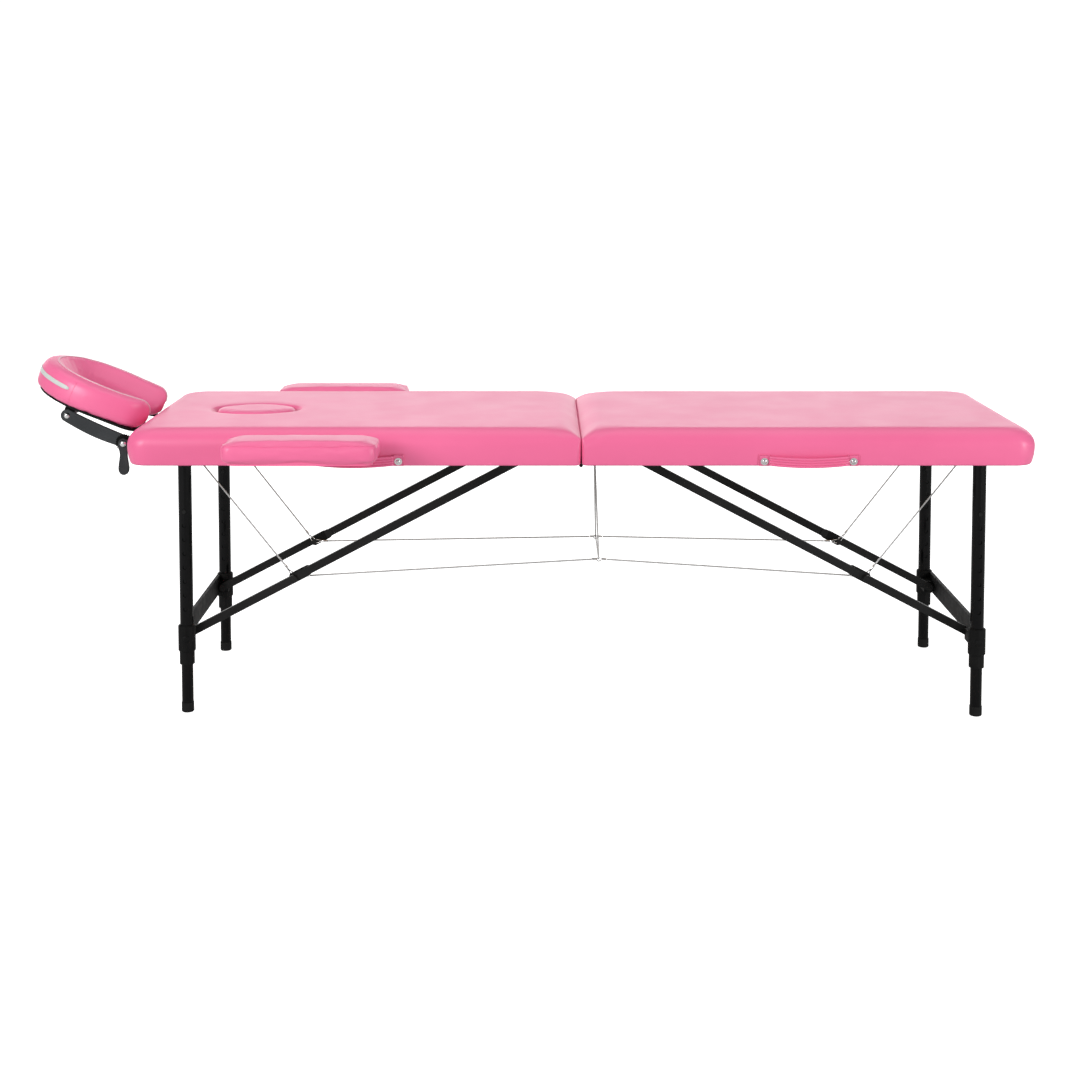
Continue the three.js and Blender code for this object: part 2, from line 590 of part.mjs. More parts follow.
function half(prefix, direction, legY, hasFaceHole) {
  const group = new THREE.Group();
  if (direction < 0) group.rotation.z = Math.PI;
  const front = -direction;
  place(group, `${prefix}_pad`, pad(hasFaceHole), pinkVinyl);
  place(group, `${prefix}_deck`, deck(hasFaceHole), plywood);
  place(group, `${prefix}_frame`, frame(hasFaceHole), aluminium);
  place(group, `${prefix}_hinge_leaf`, hingeLeaf(direction < 0 ? 0 : 1), aluminium);
  place(group, `${prefix}_leg_axle`, legAxle(), darkMetal);
  place(group, `${prefix}_strut_mount`, strutMount(), darkMetal);
  place(group, `${prefix}_crossbar`, crossbarBox(legY, 0), blackPaint);
  place(group, `${prefix}_handle`, handle(front), pinkVinyl);
  for (const [name, side] of [['front', front], ['rear', -front]]) {
    const y = side * legY;
    place(group, `${prefix}_${name}_leg_tube`, legTube(y, front), blackPaint);
    place(group, `${prefix}_${name}_leg_joint`, legJoint(y, legY), blackPlastic);
    place(group, `${prefix}_${name}_leg_extension`, extension(y, front), blackPaint);
    place(group, `${prefix}_${name}_foot`, foot(y), blackPlastic);
    place(group, `${prefix}_${name}_button`, button(y, front), steel);
    place(group, `${prefix}_${name}_upper_strut`, upperStrut(side), darkMetal);
    place(group, `${prefix}_${name}_lower_strut`, lowerStrut(side, legY), darkMetal);
    const knotX = direction * CABLE_KNOT[0] + CABLE_END_GAP;
    place(group, `${prefix}_${name}_cable`, sideCable(side, knotX), steel);
  }
  return group;
}

// ---- Head half accessories, drawn in the table's own axes ----

function facePlug() {
  const shape = ellipse(-FACE_HOLE_X, FACE_HOLE_LENGTH - 2 * PLUG_GAP, FACE_HOLE_WIDTH - 2 * PLUG_GAP);
  const bottom = DECK_TOP + FIT_GAP;
  return solid(extruded(shape, TABLE_HEIGHT - bottom).translate(0, 0, bottom));
}

function armrestPad(side) {
  const [ya, yb] = [side * ARMREST_INNER_Y, side * ARMREST_OUTER_Y].sort((a, b) => a - b);
  return softBlock(-ARMREST_OUTER_X, -ARMREST_INNER_X, ya, yb, ARMREST_BOTTOM, ARMREST_TOP,
    ARMREST_CORNER_RADIUS, ARMREST_EDGE_RADIUS);
}

function armrestBase(side) {
  const inset = ARMREST_BOARD_INSET;
  const innerY = side * (ARMREST_INNER_Y + inset);
  const outerY = side * (ARMREST_OUTER_Y - inset);
  const [ya, yb] = [innerY, outerY].sort((a, b) => a - b);
  const top = ARMREST_BOTTOM - FIT_GAP;
  let body = box(-ARMREST_OUTER_X + inset, -ARMREST_INNER_X - inset, ya, yb, top - ARMREST_BOARD, top);
  for (const x of ARMREST_ROD_X) {
    body = body.add(barY(ARMREST_ROD_RADIUS, -x, ARMREST_ROD_Z, side * ARMREST_ROD_END,
      outerY - side * inset));
  }
  return body;
}

// Outline of a horseshoe open towards +X, given half the width of its band.
function horseshoe(halfBand) {
  const middleRadius = (HEADREST_WIDTH - HEADREST_BAND) / 2;
  const bend = -HEADREST_LENGTH / 2 + HEADREST_WIDTH / 2;
  const tip = HEADREST_LENGTH / 2 - HEADREST_BAND / 2;
  const shape = new THREE.Shape();
  shape.absarc(bend, 0, middleRadius + halfBand, Math.PI / 2, Math.PI * 1.5);
  shape.absarc(tip, -middleRadius, halfBand, -Math.PI / 2, Math.PI / 2);
  shape.absarc(bend, 0, middleRadius - halfBand, Math.PI * 1.5, Math.PI / 2, true);
  shape.absarc(tip, middleRadius, halfBand, -Math.PI / 2, Math.PI / 2);
  shape.closePath();
  return shape;
}

function tilted(geometry) {
  return geometry.rotateY(HEADREST_TILT).translate(HEADREST_X, 0, HEADREST_Z);
}

function headrestCushion() {
  const edge = HEADREST_EDGE_RADIUS;
  const geometry = new THREE.ExtrudeGeometry(horseshoe(HEADREST_BAND / 2 - edge), {
    depth: HEADREST_THICKNESS - 2 * edge,
    bevelThickness: edge,
    bevelSize: edge,
    bevelSegments: EDGE_STEPS,
    curveSegments: HORSESHOE_STEPS,
  });
  return solid(tilted(geometry.translate(0, 0, edge)));
}

// The base plate under the cushion, with two ears down to the tilt pivot.
function headrestPlatform() {
  const plate = extruded(horseshoe(PLATFORM_BAND / 2), PLATFORM_THICKNESS, HORSESHOE_STEPS);
  let body = solid(tilted(plate.translate(0, 0, -PLATFORM_THICKNESS - FIT_GAP)));
  const plateMiddle = PLATFORM_THICKNESS / 2 + FIT_GAP;
  const drop = (TILT_PIVOT_Z - HEADREST_Z) * Math.cos(HEADREST_TILT)
    + (TILT_PIVOT_X - HEADREST_X) * Math.sin(HEADREST_TILT);
  const rise = -drop - plateMiddle - EAR_RADIUS;
  const topX = TILT_PIVOT_X + rise * Math.sin(HEADREST_TILT);
  const topZ = TILT_PIVOT_Z + rise * Math.cos(HEADREST_TILT);
  for (const side of [-1, 1]) {
    const ya = side * (EAR_Y - EAR_THICKNESS / 2);
    const yb = side * (EAR_Y + EAR_THICKNESS / 2);
    body = body.add(link(TILT_PIVOT_X, TILT_PIVOT_Z, topX, topZ, EAR_RADIUS, ya, yb));
  }
  return body.subtract(barY(HUB_RADIUS + RUNNING_GAP, TILT_PIVOT_X, TILT_PIVOT_Z,
    -HEADREST_WIDTH / 2, HEADREST_WIDTH / 2));
}

// Two side plates joined by the tube of the tilt pivot.
function headrestArm() {
  const reach = ARM_PLATE_Y + ARM_PLATE_THICKNESS / 2;
  let body = barY(HUB_RADIUS, TILT_PIVOT_X, TILT_PIVOT_Z, -reach, reach);
  for (const side of [-1, 1]) {
    body = body.add(link(HUB_X, HUB_Z, TILT_PIVOT_X, TILT_PIVOT_Z, ARM_PLATE_RADIUS,
      side * (ARM_PLATE_Y - ARM_PLATE_THICKNESS / 2), side * reach));
  }
  return body.subtract(barY(HUB_RADIUS + RUNNING_GAP, HUB_X, HUB_Z, -reach - 1, reach + 1));
}

// The two rods that plug into the table end, the hub tube across them and the serrated disc.
function headrestSlider() {
  const farEnd = ARM_PLATE_Y + ARM_PLATE_THICKNESS + 2;
  let body = barY(HUB_RADIUS, HUB_X, HUB_Z, -LEVER_Y - LEVER_THICKNESS / 2 - 2, farEnd);
  body = body.add(barY(HUB_DISC_RADIUS, HUB_X, HUB_Z, -HUB_DISC_Y + HUB_DISC_THICKNESS / 2,
    -HUB_DISC_Y - HUB_DISC_THICKNESS / 2, TUBE_SIDES));
  for (const y of [-HEADREST_ROD_Y, HEADREST_ROD_Y]) {
    body = body.add(barX(HEADREST_ROD_RADIUS, y, HUB_Z, HUB_X, HEADREST_ROD_END));
  }
  return body;
}

function camLever() {
  const body = link(HUB_X, HUB_Z, HUB_X, HUB_Z - LEVER_LENGTH, LEVER_WIDTH / 2,
    -LEVER_Y - LEVER_THICKNESS / 2, -LEVER_Y + LEVER_THICKNESS / 2);
  return body.subtract(barY(HUB_RADIUS + RUNNING_GAP, HUB_X, HUB_Z,
    -LEVER_Y - LEVER_THICKNESS, -LEVER_Y + LEVER_THICKNESS));
}

// ---- The whole table ----

const table = new THREE.Group();
table.add(half('head', -1, HEAD_LEG_Y, true));
table.add(half('foot', 1, FOOT_LEG_Y, false));
place(table, 'hinge_pin', barY(HINGE_PIN_RADIUS, 0, HINGE_Z, -HINGE_LENGTH / 2, HINGE_LENGTH / 2), steel);
place(table, 'middle_cable_loop', middleLoop(), steel);
place(table, 'face_hole_plug', facePlug(), pinkVinyl);
for (const [name, side] of [['front', -1], ['rear', 1]]) {
  place(table, `${name}_armrest_pad`, armrestPad(side), pinkVinyl);
  place(table, `${name}_armrest_base`, armrestBase(side), blackPlastic);
}
place(table, 'headrest_slider', headrestSlider(), blackPlastic);
place(table, 'headrest_arm', headrestArm(), darkMetal);
place(table, 'headrest_platform', headrestPlatform(), blackPlastic);
place(table, 'headrest_cushion', headrestCushion(), pinkVinyl);
place(table, 'headrest_lever', camLever(), blackPlastic);

// The origin is on the floor, below the middle of the table's outer box.
const extent = new THREE.Box3().setFromObject(table);
table.position.x = -(extent.min.x + extent.max.x) / 2;
const group = new THREE.Group();
group.add(table);

export default group;
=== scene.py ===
"""Looks of the portable massage table: pink vinyl pads, black legs, steel cables and the headrest."""
import bpy
import bmesh
import json
import math
from mathutils import Matrix, Vector, noise
from mathutils.bvhtree import BVHTree


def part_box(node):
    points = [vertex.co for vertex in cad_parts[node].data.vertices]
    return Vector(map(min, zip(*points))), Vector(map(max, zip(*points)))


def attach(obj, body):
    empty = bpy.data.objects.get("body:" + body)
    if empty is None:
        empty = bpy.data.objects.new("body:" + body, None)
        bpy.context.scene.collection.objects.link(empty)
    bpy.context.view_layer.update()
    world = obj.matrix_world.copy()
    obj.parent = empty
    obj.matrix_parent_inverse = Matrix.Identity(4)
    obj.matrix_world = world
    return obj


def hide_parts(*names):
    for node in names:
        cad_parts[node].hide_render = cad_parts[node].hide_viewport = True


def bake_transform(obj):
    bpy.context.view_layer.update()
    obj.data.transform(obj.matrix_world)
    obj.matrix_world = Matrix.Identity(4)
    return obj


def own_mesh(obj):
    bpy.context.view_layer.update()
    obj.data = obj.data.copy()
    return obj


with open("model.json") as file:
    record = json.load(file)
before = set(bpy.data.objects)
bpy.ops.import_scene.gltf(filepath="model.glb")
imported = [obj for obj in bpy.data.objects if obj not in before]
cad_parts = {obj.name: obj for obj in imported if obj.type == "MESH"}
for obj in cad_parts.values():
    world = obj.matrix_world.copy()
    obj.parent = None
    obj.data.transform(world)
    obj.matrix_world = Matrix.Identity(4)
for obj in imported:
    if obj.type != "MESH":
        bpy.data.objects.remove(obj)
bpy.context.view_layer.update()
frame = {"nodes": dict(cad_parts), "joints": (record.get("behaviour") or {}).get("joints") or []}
JOINTS = {joint["name"]: joint for joint in frame["joints"]}
NODES = frame["nodes"]
HALVES = {"head": -1, "foot": 1}
SIDES = {"front": -1, "rear": 1}

# ---- Places taken from the frame ----

FOLD_X = JOINTS["centre_fold"]["pos_m"][0]
PAD_LOW, PAD_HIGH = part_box("foot_pad")
PAD_TOP = PAD_HIGH.z
PAD_BOTTOM = PAD_LOW.z
HALF_WIDTH = PAD_HIGH.y
PAD_END = PAD_HIGH.x - FOLD_X          # from the fold line to the end of a half
DECK_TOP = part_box("foot_deck")[1].z
PLUG_LOW, PLUG_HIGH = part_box("face_hole_plug")
PLUG_CENTRE = (PLUG_LOW + PLUG_HIGH) / 2


# ---- Mesh helpers ----

def in_scene(name, data):
    """A new object for a mesh, a light or a camera."""
    piece = bpy.data.objects.new(name, data)
    bpy.context.scene.collection.objects.link(piece)
    return piece


def shade_smooth(mesh):
    mesh.polygons.foreach_set("use_smooth", [True] * len(mesh.polygons))


def new_object(name, vertices, faces, smooth=True):
    mesh = bpy.data.meshes.new(name)
    mesh.from_pydata([tuple(v) for v in vertices], [], faces)
    mesh.update()
    if smooth:
        shade_smooth(mesh)
    return in_scene(name, mesh)


def fix_normals(piece):
    work = bmesh.new()
    work.from_mesh(piece.data)
    bmesh.ops.remove_doubles(work, verts=work.verts, dist=1e-6)
    bmesh.ops.recalc_face_normals(work, faces=work.faces)
    work.to_mesh(piece.data)
    work.free()
    return piece


def loft(name, rings, closed_loft=False, caps=(True, True)):
    """A skin over closed rings of equal point count."""
    count = len(rings[0])
    vertices = [point for ring in rings for point in ring]
    faces = []
    spans = len(rings) if closed_loft else len(rings) - 1
    for i in range(spans):
        a, b = i * count, ((i + 1) % len(rings)) * count
        for k in range(count):
            n = (k + 1) % count
            faces.append((a + k, a + n, b + n, b + k))
    if not closed_loft:
        if caps[0]:
            faces.append(tuple(reversed(range(count))))
        if caps[1]:
            faces.append(tuple(range((len(rings) - 1) * count, len(rings) * count)))
    return fix_normals(new_object(name, vertices, faces))


def apply_modifiers(piece):
    bpy.context.view_layer.update()
    graph = bpy.context.evaluated_depsgraph_get()
    mesh = bpy.data.meshes.new_from_object(piece.evaluated_get(graph))
    old = piece.data
    piece.modifiers.clear()
    piece.data = mesh
    bpy.data.meshes.remove(old)
    return piece


def bevel_and_smooth(piece, width):
    modifier = piece.modifiers.new("bevel", "BEVEL")
    modifier.width = width
    modifier.segments = 2
    modifier.limit_method = "ANGLE"
    modifier.angle_limit = math.radians(35)
    apply_modifiers(piece)
    return shade_by_angle(piece)


def shade_by_angle(piece, degrees=35):
    work = bmesh.new()
    work.from_mesh(piece.data)
    for edge in work.edges:
        edge.smooth = not (edge.is_manifold and edge.calc_face_angle(0) > math.radians(degrees))
    work.to_mesh(piece.data)
    work.free()
    shade_smooth(piece.data)
    return piece


def subdivide(piece, levels=1):
    modifier = piece.modifiers.new("subdivision", "SUBSURF")
    modifier.levels = levels
    modifier.render_levels = levels
    return apply_modifiers(piece)


def frame_for(axis):
    """Two unit vectors square to an axis."""
    axis = Vector(axis).normalized()
    side = Vector((0, 0, 1)) if abs(axis.z) < 0.9 else Vector((1, 0, 0))
    first = axis.cross(side).normalized()
    return axis, first, axis.cross(first).normalized()


def turned(name, profile, at, axis, count=32):
    """A turned piece: profile is (radius, distance along the axis) pairs, closed at both ends."""
    direction, first, second = frame_for(axis)
    at = Vector(at)
    rings = []
    for radius, along in profile:
        ring = []
        for k in range(count):
            angle = math.tau * k / count
            offset = first * math.cos(angle) + second * math.sin(angle)
            ring.append(at + direction * along + offset * max(radius, 1e-5))
        rings.append(ring)
    return shade_by_angle(loft(name, rings), 40)


def tube(name, points, radius, count=10, closed=False):
    """A round tube along points. Each ring's start carries over to the next, so that it doesn't twist."""
    points = [Vector(p) for p in points]
    rings = []
    previous = None
    total = len(points)
    for i, point in enumerate(points):
        before = points[i - 1] if (i or closed) else point
        after = points[(i + 1) % total] if (i < total - 1 or closed) else point
        along = (after - before).normalized()
        if previous is None:
            previous = along.orthogonal().normalized()
        across = (previous - along * previous.dot(along)).normalized()
        previous = across
        up = along.cross(across)
        ring = []
        for k in range(count):
            angle = math.tau * k / count
            ring.append(point + across * (math.cos(angle) * radius) + up * (math.sin(angle) * radius))
        rings.append(ring)
    return loft(name, rings, closed_loft=closed)


def smooth_path(points, per_span):
    """Catmull-Rom points through the given ones."""
    points = [Vector(p) for p in points]
    total = len(points)
    result = []
    for i in range(total - 1):
        p0, p1, p2, p3 = (points[min(max(i + k, 0), total - 1)] for k in (-1, 0, 1, 2))
        for step in range(per_span):
            t = step / per_span
            result.append(0.5 * (2 * p1 + (p2 - p0) * t + (2 * p0 - 5 * p1 + 4 * p2 - p3) * t * t
                                 + (3 * p1 - p0 - 3 * p2 + p3) * t ** 3))
    result.append(points[-1])
    return result


def at_height(points, z):
    """A flat outline as a ring at one height."""
    return [Vector((p.x, p.y, z)) for p in points]


def joined(name, pieces):
    """One object from several."""
    work = bmesh.new()
    for piece in pieces:
        work.from_mesh(piece.data)
    mesh = bpy.data.meshes.new(name)
    work.to_mesh(mesh)
    work.free()
    for piece in pieces:
        bpy.data.objects.remove(piece)
    return in_scene(name, mesh)


def smoothstep(low, high, value):
    t = min(max((value - low) / (high - low), 0.0), 1.0)
    return t * t * (3 - 2 * t)


# ---- Materials ----

class Shader:
    """A Principled material with short calls for the nodes that this scene uses."""

    def __init__(self, name, **sockets):
        self.material = bpy.data.materials.new(name)
        self.material.use_nodes = True
        self.tree = self.material.node_tree
        self.surface = self.tree.nodes["Principled BSDF"]
        for key, value in sockets.items():
            self.surface.inputs[key.replace("_", " ")].default_value = value
        self.place = self.node("ShaderNodeTexCoord").outputs["Object"]

    def node(self, kind, **settings):
        made = self.tree.nodes.new(kind)
        for key, value in settings.items():
            setattr(made, key, value)
        return made

    def link(self, output, target):
        self.tree.links.new(output, target)

    def noise(self, scale, detail=3.0, roughness=0.5, stretch=None):
        made = self.node("ShaderNodeTexNoise")
        made.inputs["Scale"].default_value = scale
        made.inputs["Detail"].default_value = detail
        made.inputs["Roughness"].default_value = roughness
        self.link(self.stretched(stretch), made.inputs["Vector"])
        return made.outputs["Fac"]

    def stretched(self, stretch):
        if not stretch:
            return self.place
        mapping = self.node("ShaderNodeMapping")
        mapping.inputs["Scale"].default_value = stretch
        self.link(self.place, mapping.inputs["Vector"])
        return mapping.outputs["Vector"]

    def cells(self, scale, feature="DISTANCE_TO_EDGE"):
        made = self.node("ShaderNodeTexVoronoi", feature=feature)
        made.inputs["Scale"].default_value = scale
        self.link(self.place, made.inputs["Vector"])
        return made.outputs["Distance"]

    def ramp(self, value, low, high, start=0.3, end=0.7):
        made = self.node("ShaderNodeValToRGB")
        made.color_ramp.elements[0].position = start
        made.color_ramp.elements[1].position = end
        made.color_ramp.elements[0].color = low
        made.color_ramp.elements[1].color = high
        self.link(value, made.inputs["Fac"])
        return made.outputs["Color"]

    def spread(self, value, low, high):
        made = self.node("ShaderNodeMapRange")
        made.inputs["From Min"].default_value = 0.3
        made.inputs["From Max"].default_value = 0.7
        made.inputs["To Min"].default_value = low
        made.inputs["To Max"].default_value = high
        self.link(value, made.inputs["Value"])
        return made.outputs["Result"]

    def bump(self, height, distance, strength=1.0, under=None):
        made = self.node("ShaderNodeBump")
        made.inputs["Distance"].default_value = distance
        made.inputs["Strength"].default_value = strength
        self.link(height, made.inputs["Height"])
        if under is not None:
            self.link(under, made.inputs["Normal"])
        return made.outputs["Normal"]

    def color(self, value, low, high, start=0.3, end=0.7):
        self.link(self.ramp(value, (*low, 1), (*high, 1), start, end), self.surface.inputs["Base Color"])

    def roughness(self, value, low, high):
        self.link(self.spread(value, low, high), self.surface.inputs["Roughness"])

    def normal(self, output):
        self.link(output, self.surface.inputs["Normal"])


def vinyl(name, low, high, roughness=(0.40, 0.48)):
    """Soft PVC upholstery: fine pebble grain, slow colour drift and faint creases."""
    shader = Shader(name, Specular_IOR_Level=0.5, Coat_Weight=0.25, Coat_Roughness=0.3)
    shader.color(shader.noise(3.2, 4), low, high)
    shader.roughness(shader.noise(14, 3), *roughness)
    creases = shader.bump(shader.noise(26, 2, 0.4), 0.0012, 0.12)
    grain = shader.bump(shader.cells(950), 0.00012, 0.5, creases)
    shader.normal(grain)
    return shader.material


def painted(name, low, high, roughness, specular, speckle=1800):
    """Paint or powder coat, with a fine orange peel."""
    shader = Shader(name, Specular_IOR_Level=specular)
    shader.color(shader.noise(9, 3), low, high)
    shader.roughness(shader.noise(40, 3), *roughness)
    shader.normal(shader.bump(shader.noise(speckle, 2), 0.00003, 0.5))
    return shader.material


def moulded(name, low, high, roughness=(0.5, 0.62)):
    """Matt plastic or rubber with a fine moulded grain."""
    shader = Shader(name, Specular_IOR_Level=0.10)
    shader.color(shader.noise(30, 3), low, high)
    shader.roughness(shader.noise(60, 2), *roughness)
    shader.normal(shader.bump(shader.noise(2600, 1), 0.00008, 0.6))
    return shader.material


def metal(name, low, high, roughness, stretch=(1, 1, 1)):
    """Bare metal, brushed along the axis with the least stretch."""
    shader = Shader(name, Metallic=1.0)
    shader.color(shader.noise(12, 2), low, high)
    brushed = shader.noise(300, 3, 0.6, stretch)
    shader.roughness(brushed, *roughness)
    shader.normal(shader.bump(brushed, 0.00003, 0.4))
    return shader.material


def twisted_cable(name):
    """Stranded steel wire: the twist is a slanted wave."""
    shader = Shader(name, Metallic=0.3)
    shader.color(shader.noise(300, 2), (0.40, 0.40, 0.40), (0.58, 0.58, 0.58))
    wave = shader.node("ShaderNodeTexWave", bands_direction="DIAGONAL")
    wave.inputs["Scale"].default_value = 320
    shader.link(shader.place, wave.inputs["Vector"])
    shader.roughness(wave.outputs["Fac"], 0.25, 0.4)
    shader.normal(shader.bump(wave.outputs["Fac"], 0.0003, 0.6))
    return shader.material


def plywood(name):
    """Pale birch with its grain along the table's length."""
    shader = Shader(name, Specular_IOR_Level=0.3)
    grain = shader.noise(18, 5, 0.6, (1, 14, 1))
    shader.color(grain, (0.42, 0.27, 0.14), (0.66, 0.47, 0.28))
    shader.roughness(grain, 0.6, 0.75)
    shader.normal(shader.bump(grain, 0.0003, 0.4))
    return shader.material


PINK = vinyl("pink_vinyl", (0.83, 0.135, 0.305), (0.87, 0.150, 0.330))
PINK_STRAP = vinyl("pink_strap", (0.80, 0.13, 0.29), (0.86, 0.155, 0.33), (0.36, 0.44))
PINK_STITCH = vinyl("pink_stitching", (0.88, 0.30, 0.46), (0.93, 0.36, 0.52), (0.6, 0.7))
TAB_STITCH = vinyl("tab_stitching", (0.58, 0.035, 0.15), (0.66, 0.045, 0.18), (0.5, 0.6))
# piping of the headrest rim: a real seam, but its pale greyish colour is a painted highlight, the sheen along
# the rim
SHEEN_PIPING = vinyl("piping_painted_sheen", (0.70, 0.42, 0.49), (0.78, 0.48, 0.55), (0.45, 0.55))
STRIP = vinyl("grey_strip", (0.56, 0.60, 0.57), (0.62, 0.66, 0.63), (0.45, 0.55))
GLOSS_BLACK = painted("gloss_black", (0.0020, 0.0020, 0.0022), (0.003, 0.003, 0.0032),
                      (0.10, 0.12), 0.14, 300)
SATIN_STRUT = painted("satin_strut", (0.010, 0.010, 0.010), (0.016, 0.016, 0.016), (0.30, 0.38), 0.14)
DARK_FRAME = painted("dark_frame", (0.032, 0.036, 0.039), (0.058, 0.063, 0.067), (0.42, 0.55), 0.25, 900)
MATT_BLACK = moulded("matt_black_plastic", (0.004, 0.004, 0.004), (0.007, 0.007, 0.007))
LEVER_GREY = moulded("lever_plastic", (0.030, 0.032, 0.034), (0.045, 0.047, 0.050), (0.38, 0.5))
RUBBER = moulded("foot_rubber", (0.010, 0.010, 0.010), (0.016, 0.016, 0.016), (0.7, 0.8))
ALUMINIUM = metal("mill_aluminium", (0.60, 0.61, 0.62), (0.72, 0.73, 0.74), (0.28, 0.42), (1, 12, 12))
CHROME = metal("bright_steel", (0.70, 0.70, 0.70), (0.85, 0.85, 0.85), (0.12, 0.2))
CABLE = twisted_cable("cable_steel")
WOOD = plywood("birch_plywood")


def paint(piece, material):
    piece.data.materials.clear()
    piece.data.materials.append(material)
    return piece


def finish_piece(piece, material, body):
    paint(piece, material)
    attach(piece, body)
    return piece


def repaint_frame():
    """Better materials on the CAD nodes that stay in view."""
    by_ending = {
        "deck": WOOD, "frame": ALUMINIUM, "hinge_leaf": SATIN_STRUT, "leg_axle": DARK_FRAME,
        "strut_mount": SATIN_STRUT, "crossbar": MATT_BLACK, "leg_tube": GLOSS_BLACK,
        "leg_joint": MATT_BLACK, "leg_extension": GLOSS_BLACK, "foot": RUBBER, "button": SATIN_STRUT,
        "upper_strut": SATIN_STRUT, "lower_strut": SATIN_STRUT, "hinge_pin": SATIN_STRUT,
        "armrest_base": MATT_BLACK, "headrest_slider": DARK_FRAME, "headrest_arm": DARK_FRAME,
        "headrest_platform": MATT_BLACK, "headrest_lever": LEVER_GREY,
    }
    for name, node in NODES.items():
        for ending, material in by_ending.items():
            if name.endswith(ending):
                for slot in node.material_slots:
                    slot.material = material


# ---- Soft pieces ----

def rounded_outline(x0, x1, y0, y1, radii, count_corner=16, count_long=70, count_short=48):
    """Points round a rectangle, counter-clockwise from its right side. radii: x1 corners, x0 corners."""
    right, left = radii
    corners = [(x1 - right, y1 - right, right, 0), (x0 + left, y1 - left, left, 90),
               (x0 + left, y0 + left, left, 180), (x1 - right, y0 + right, right, 270)]
    arcs = []
    for cx, cy, radius, start in corners:
        arcs.append([Vector((cx + radius * math.cos(math.radians(start + 90 * k / count_corner)),
                             cy + radius * math.sin(math.radians(start + 90 * k / count_corner))))
                     for k in range(count_corner + 1)])
    points = []
    for i, arc in enumerate(arcs):
        points += arc
        after = arcs[(i + 1) % 4][0]
        steps = count_long if i % 2 == 0 else count_short
        points += [arc[-1].lerp(after, k / steps) for k in range(1, steps)]
    return points


def outline_normals(points):
    normals = []
    for i in range(len(points)):
        along = points[(i + 1) % len(points)] - points[i - 1]
        normals.append(Vector((along.y, -along.x)).normalized())
    return normals


EDGE_ACROSS = 0.040             # rounding of the top edge, inward
EDGE_DROP = 0.037               # and downward
SEAM_ACROSS = 0.046             # the same at the fold line
SEAM_DROP = 0.021
WALL_PULL = 0.005               # how far the walls pull in at the bottom edge
SEAM_PULL = 0.0012
WALL_FOOT = 0.0025              # height of the fold of the cover at the bottom edge
SEAM_SLACK = 0.0004             # half of the gap left at the closed fold line
SKIRT_INSET = 0.0098            # the turned-in part of the cover, inside its wall
HOLE_ROLL = 0.018
HOLE_GROOVE = 0.016
HOLE_SHOULDER = 0.022           # flat ring round the roll of the face hole
HOLE_CLEARANCE = 0.0015
HOLE_POINT = 1.72               # below 2 the oval's ends are pinched
HOLE_SIDE = 2.15                # above 2 the oval's sides are fuller
SEAM_CORNER = 0.010
END_CORNER = 0.042
BOARD_CORNER = 0.044            # deck and frame, so that they stay behind the cover
RAIL_WIDTH = 0.0125
CLOTH_FRAMES = 20


def pinched_oval(half_length, half_width, angle):
    c, s = math.cos(angle), math.sin(angle)
    return Vector((math.copysign(abs(c) ** (2 / HOLE_POINT), c) * half_length,
                   math.copysign(abs(s) ** (2 / HOLE_SIDE), s) * half_width))


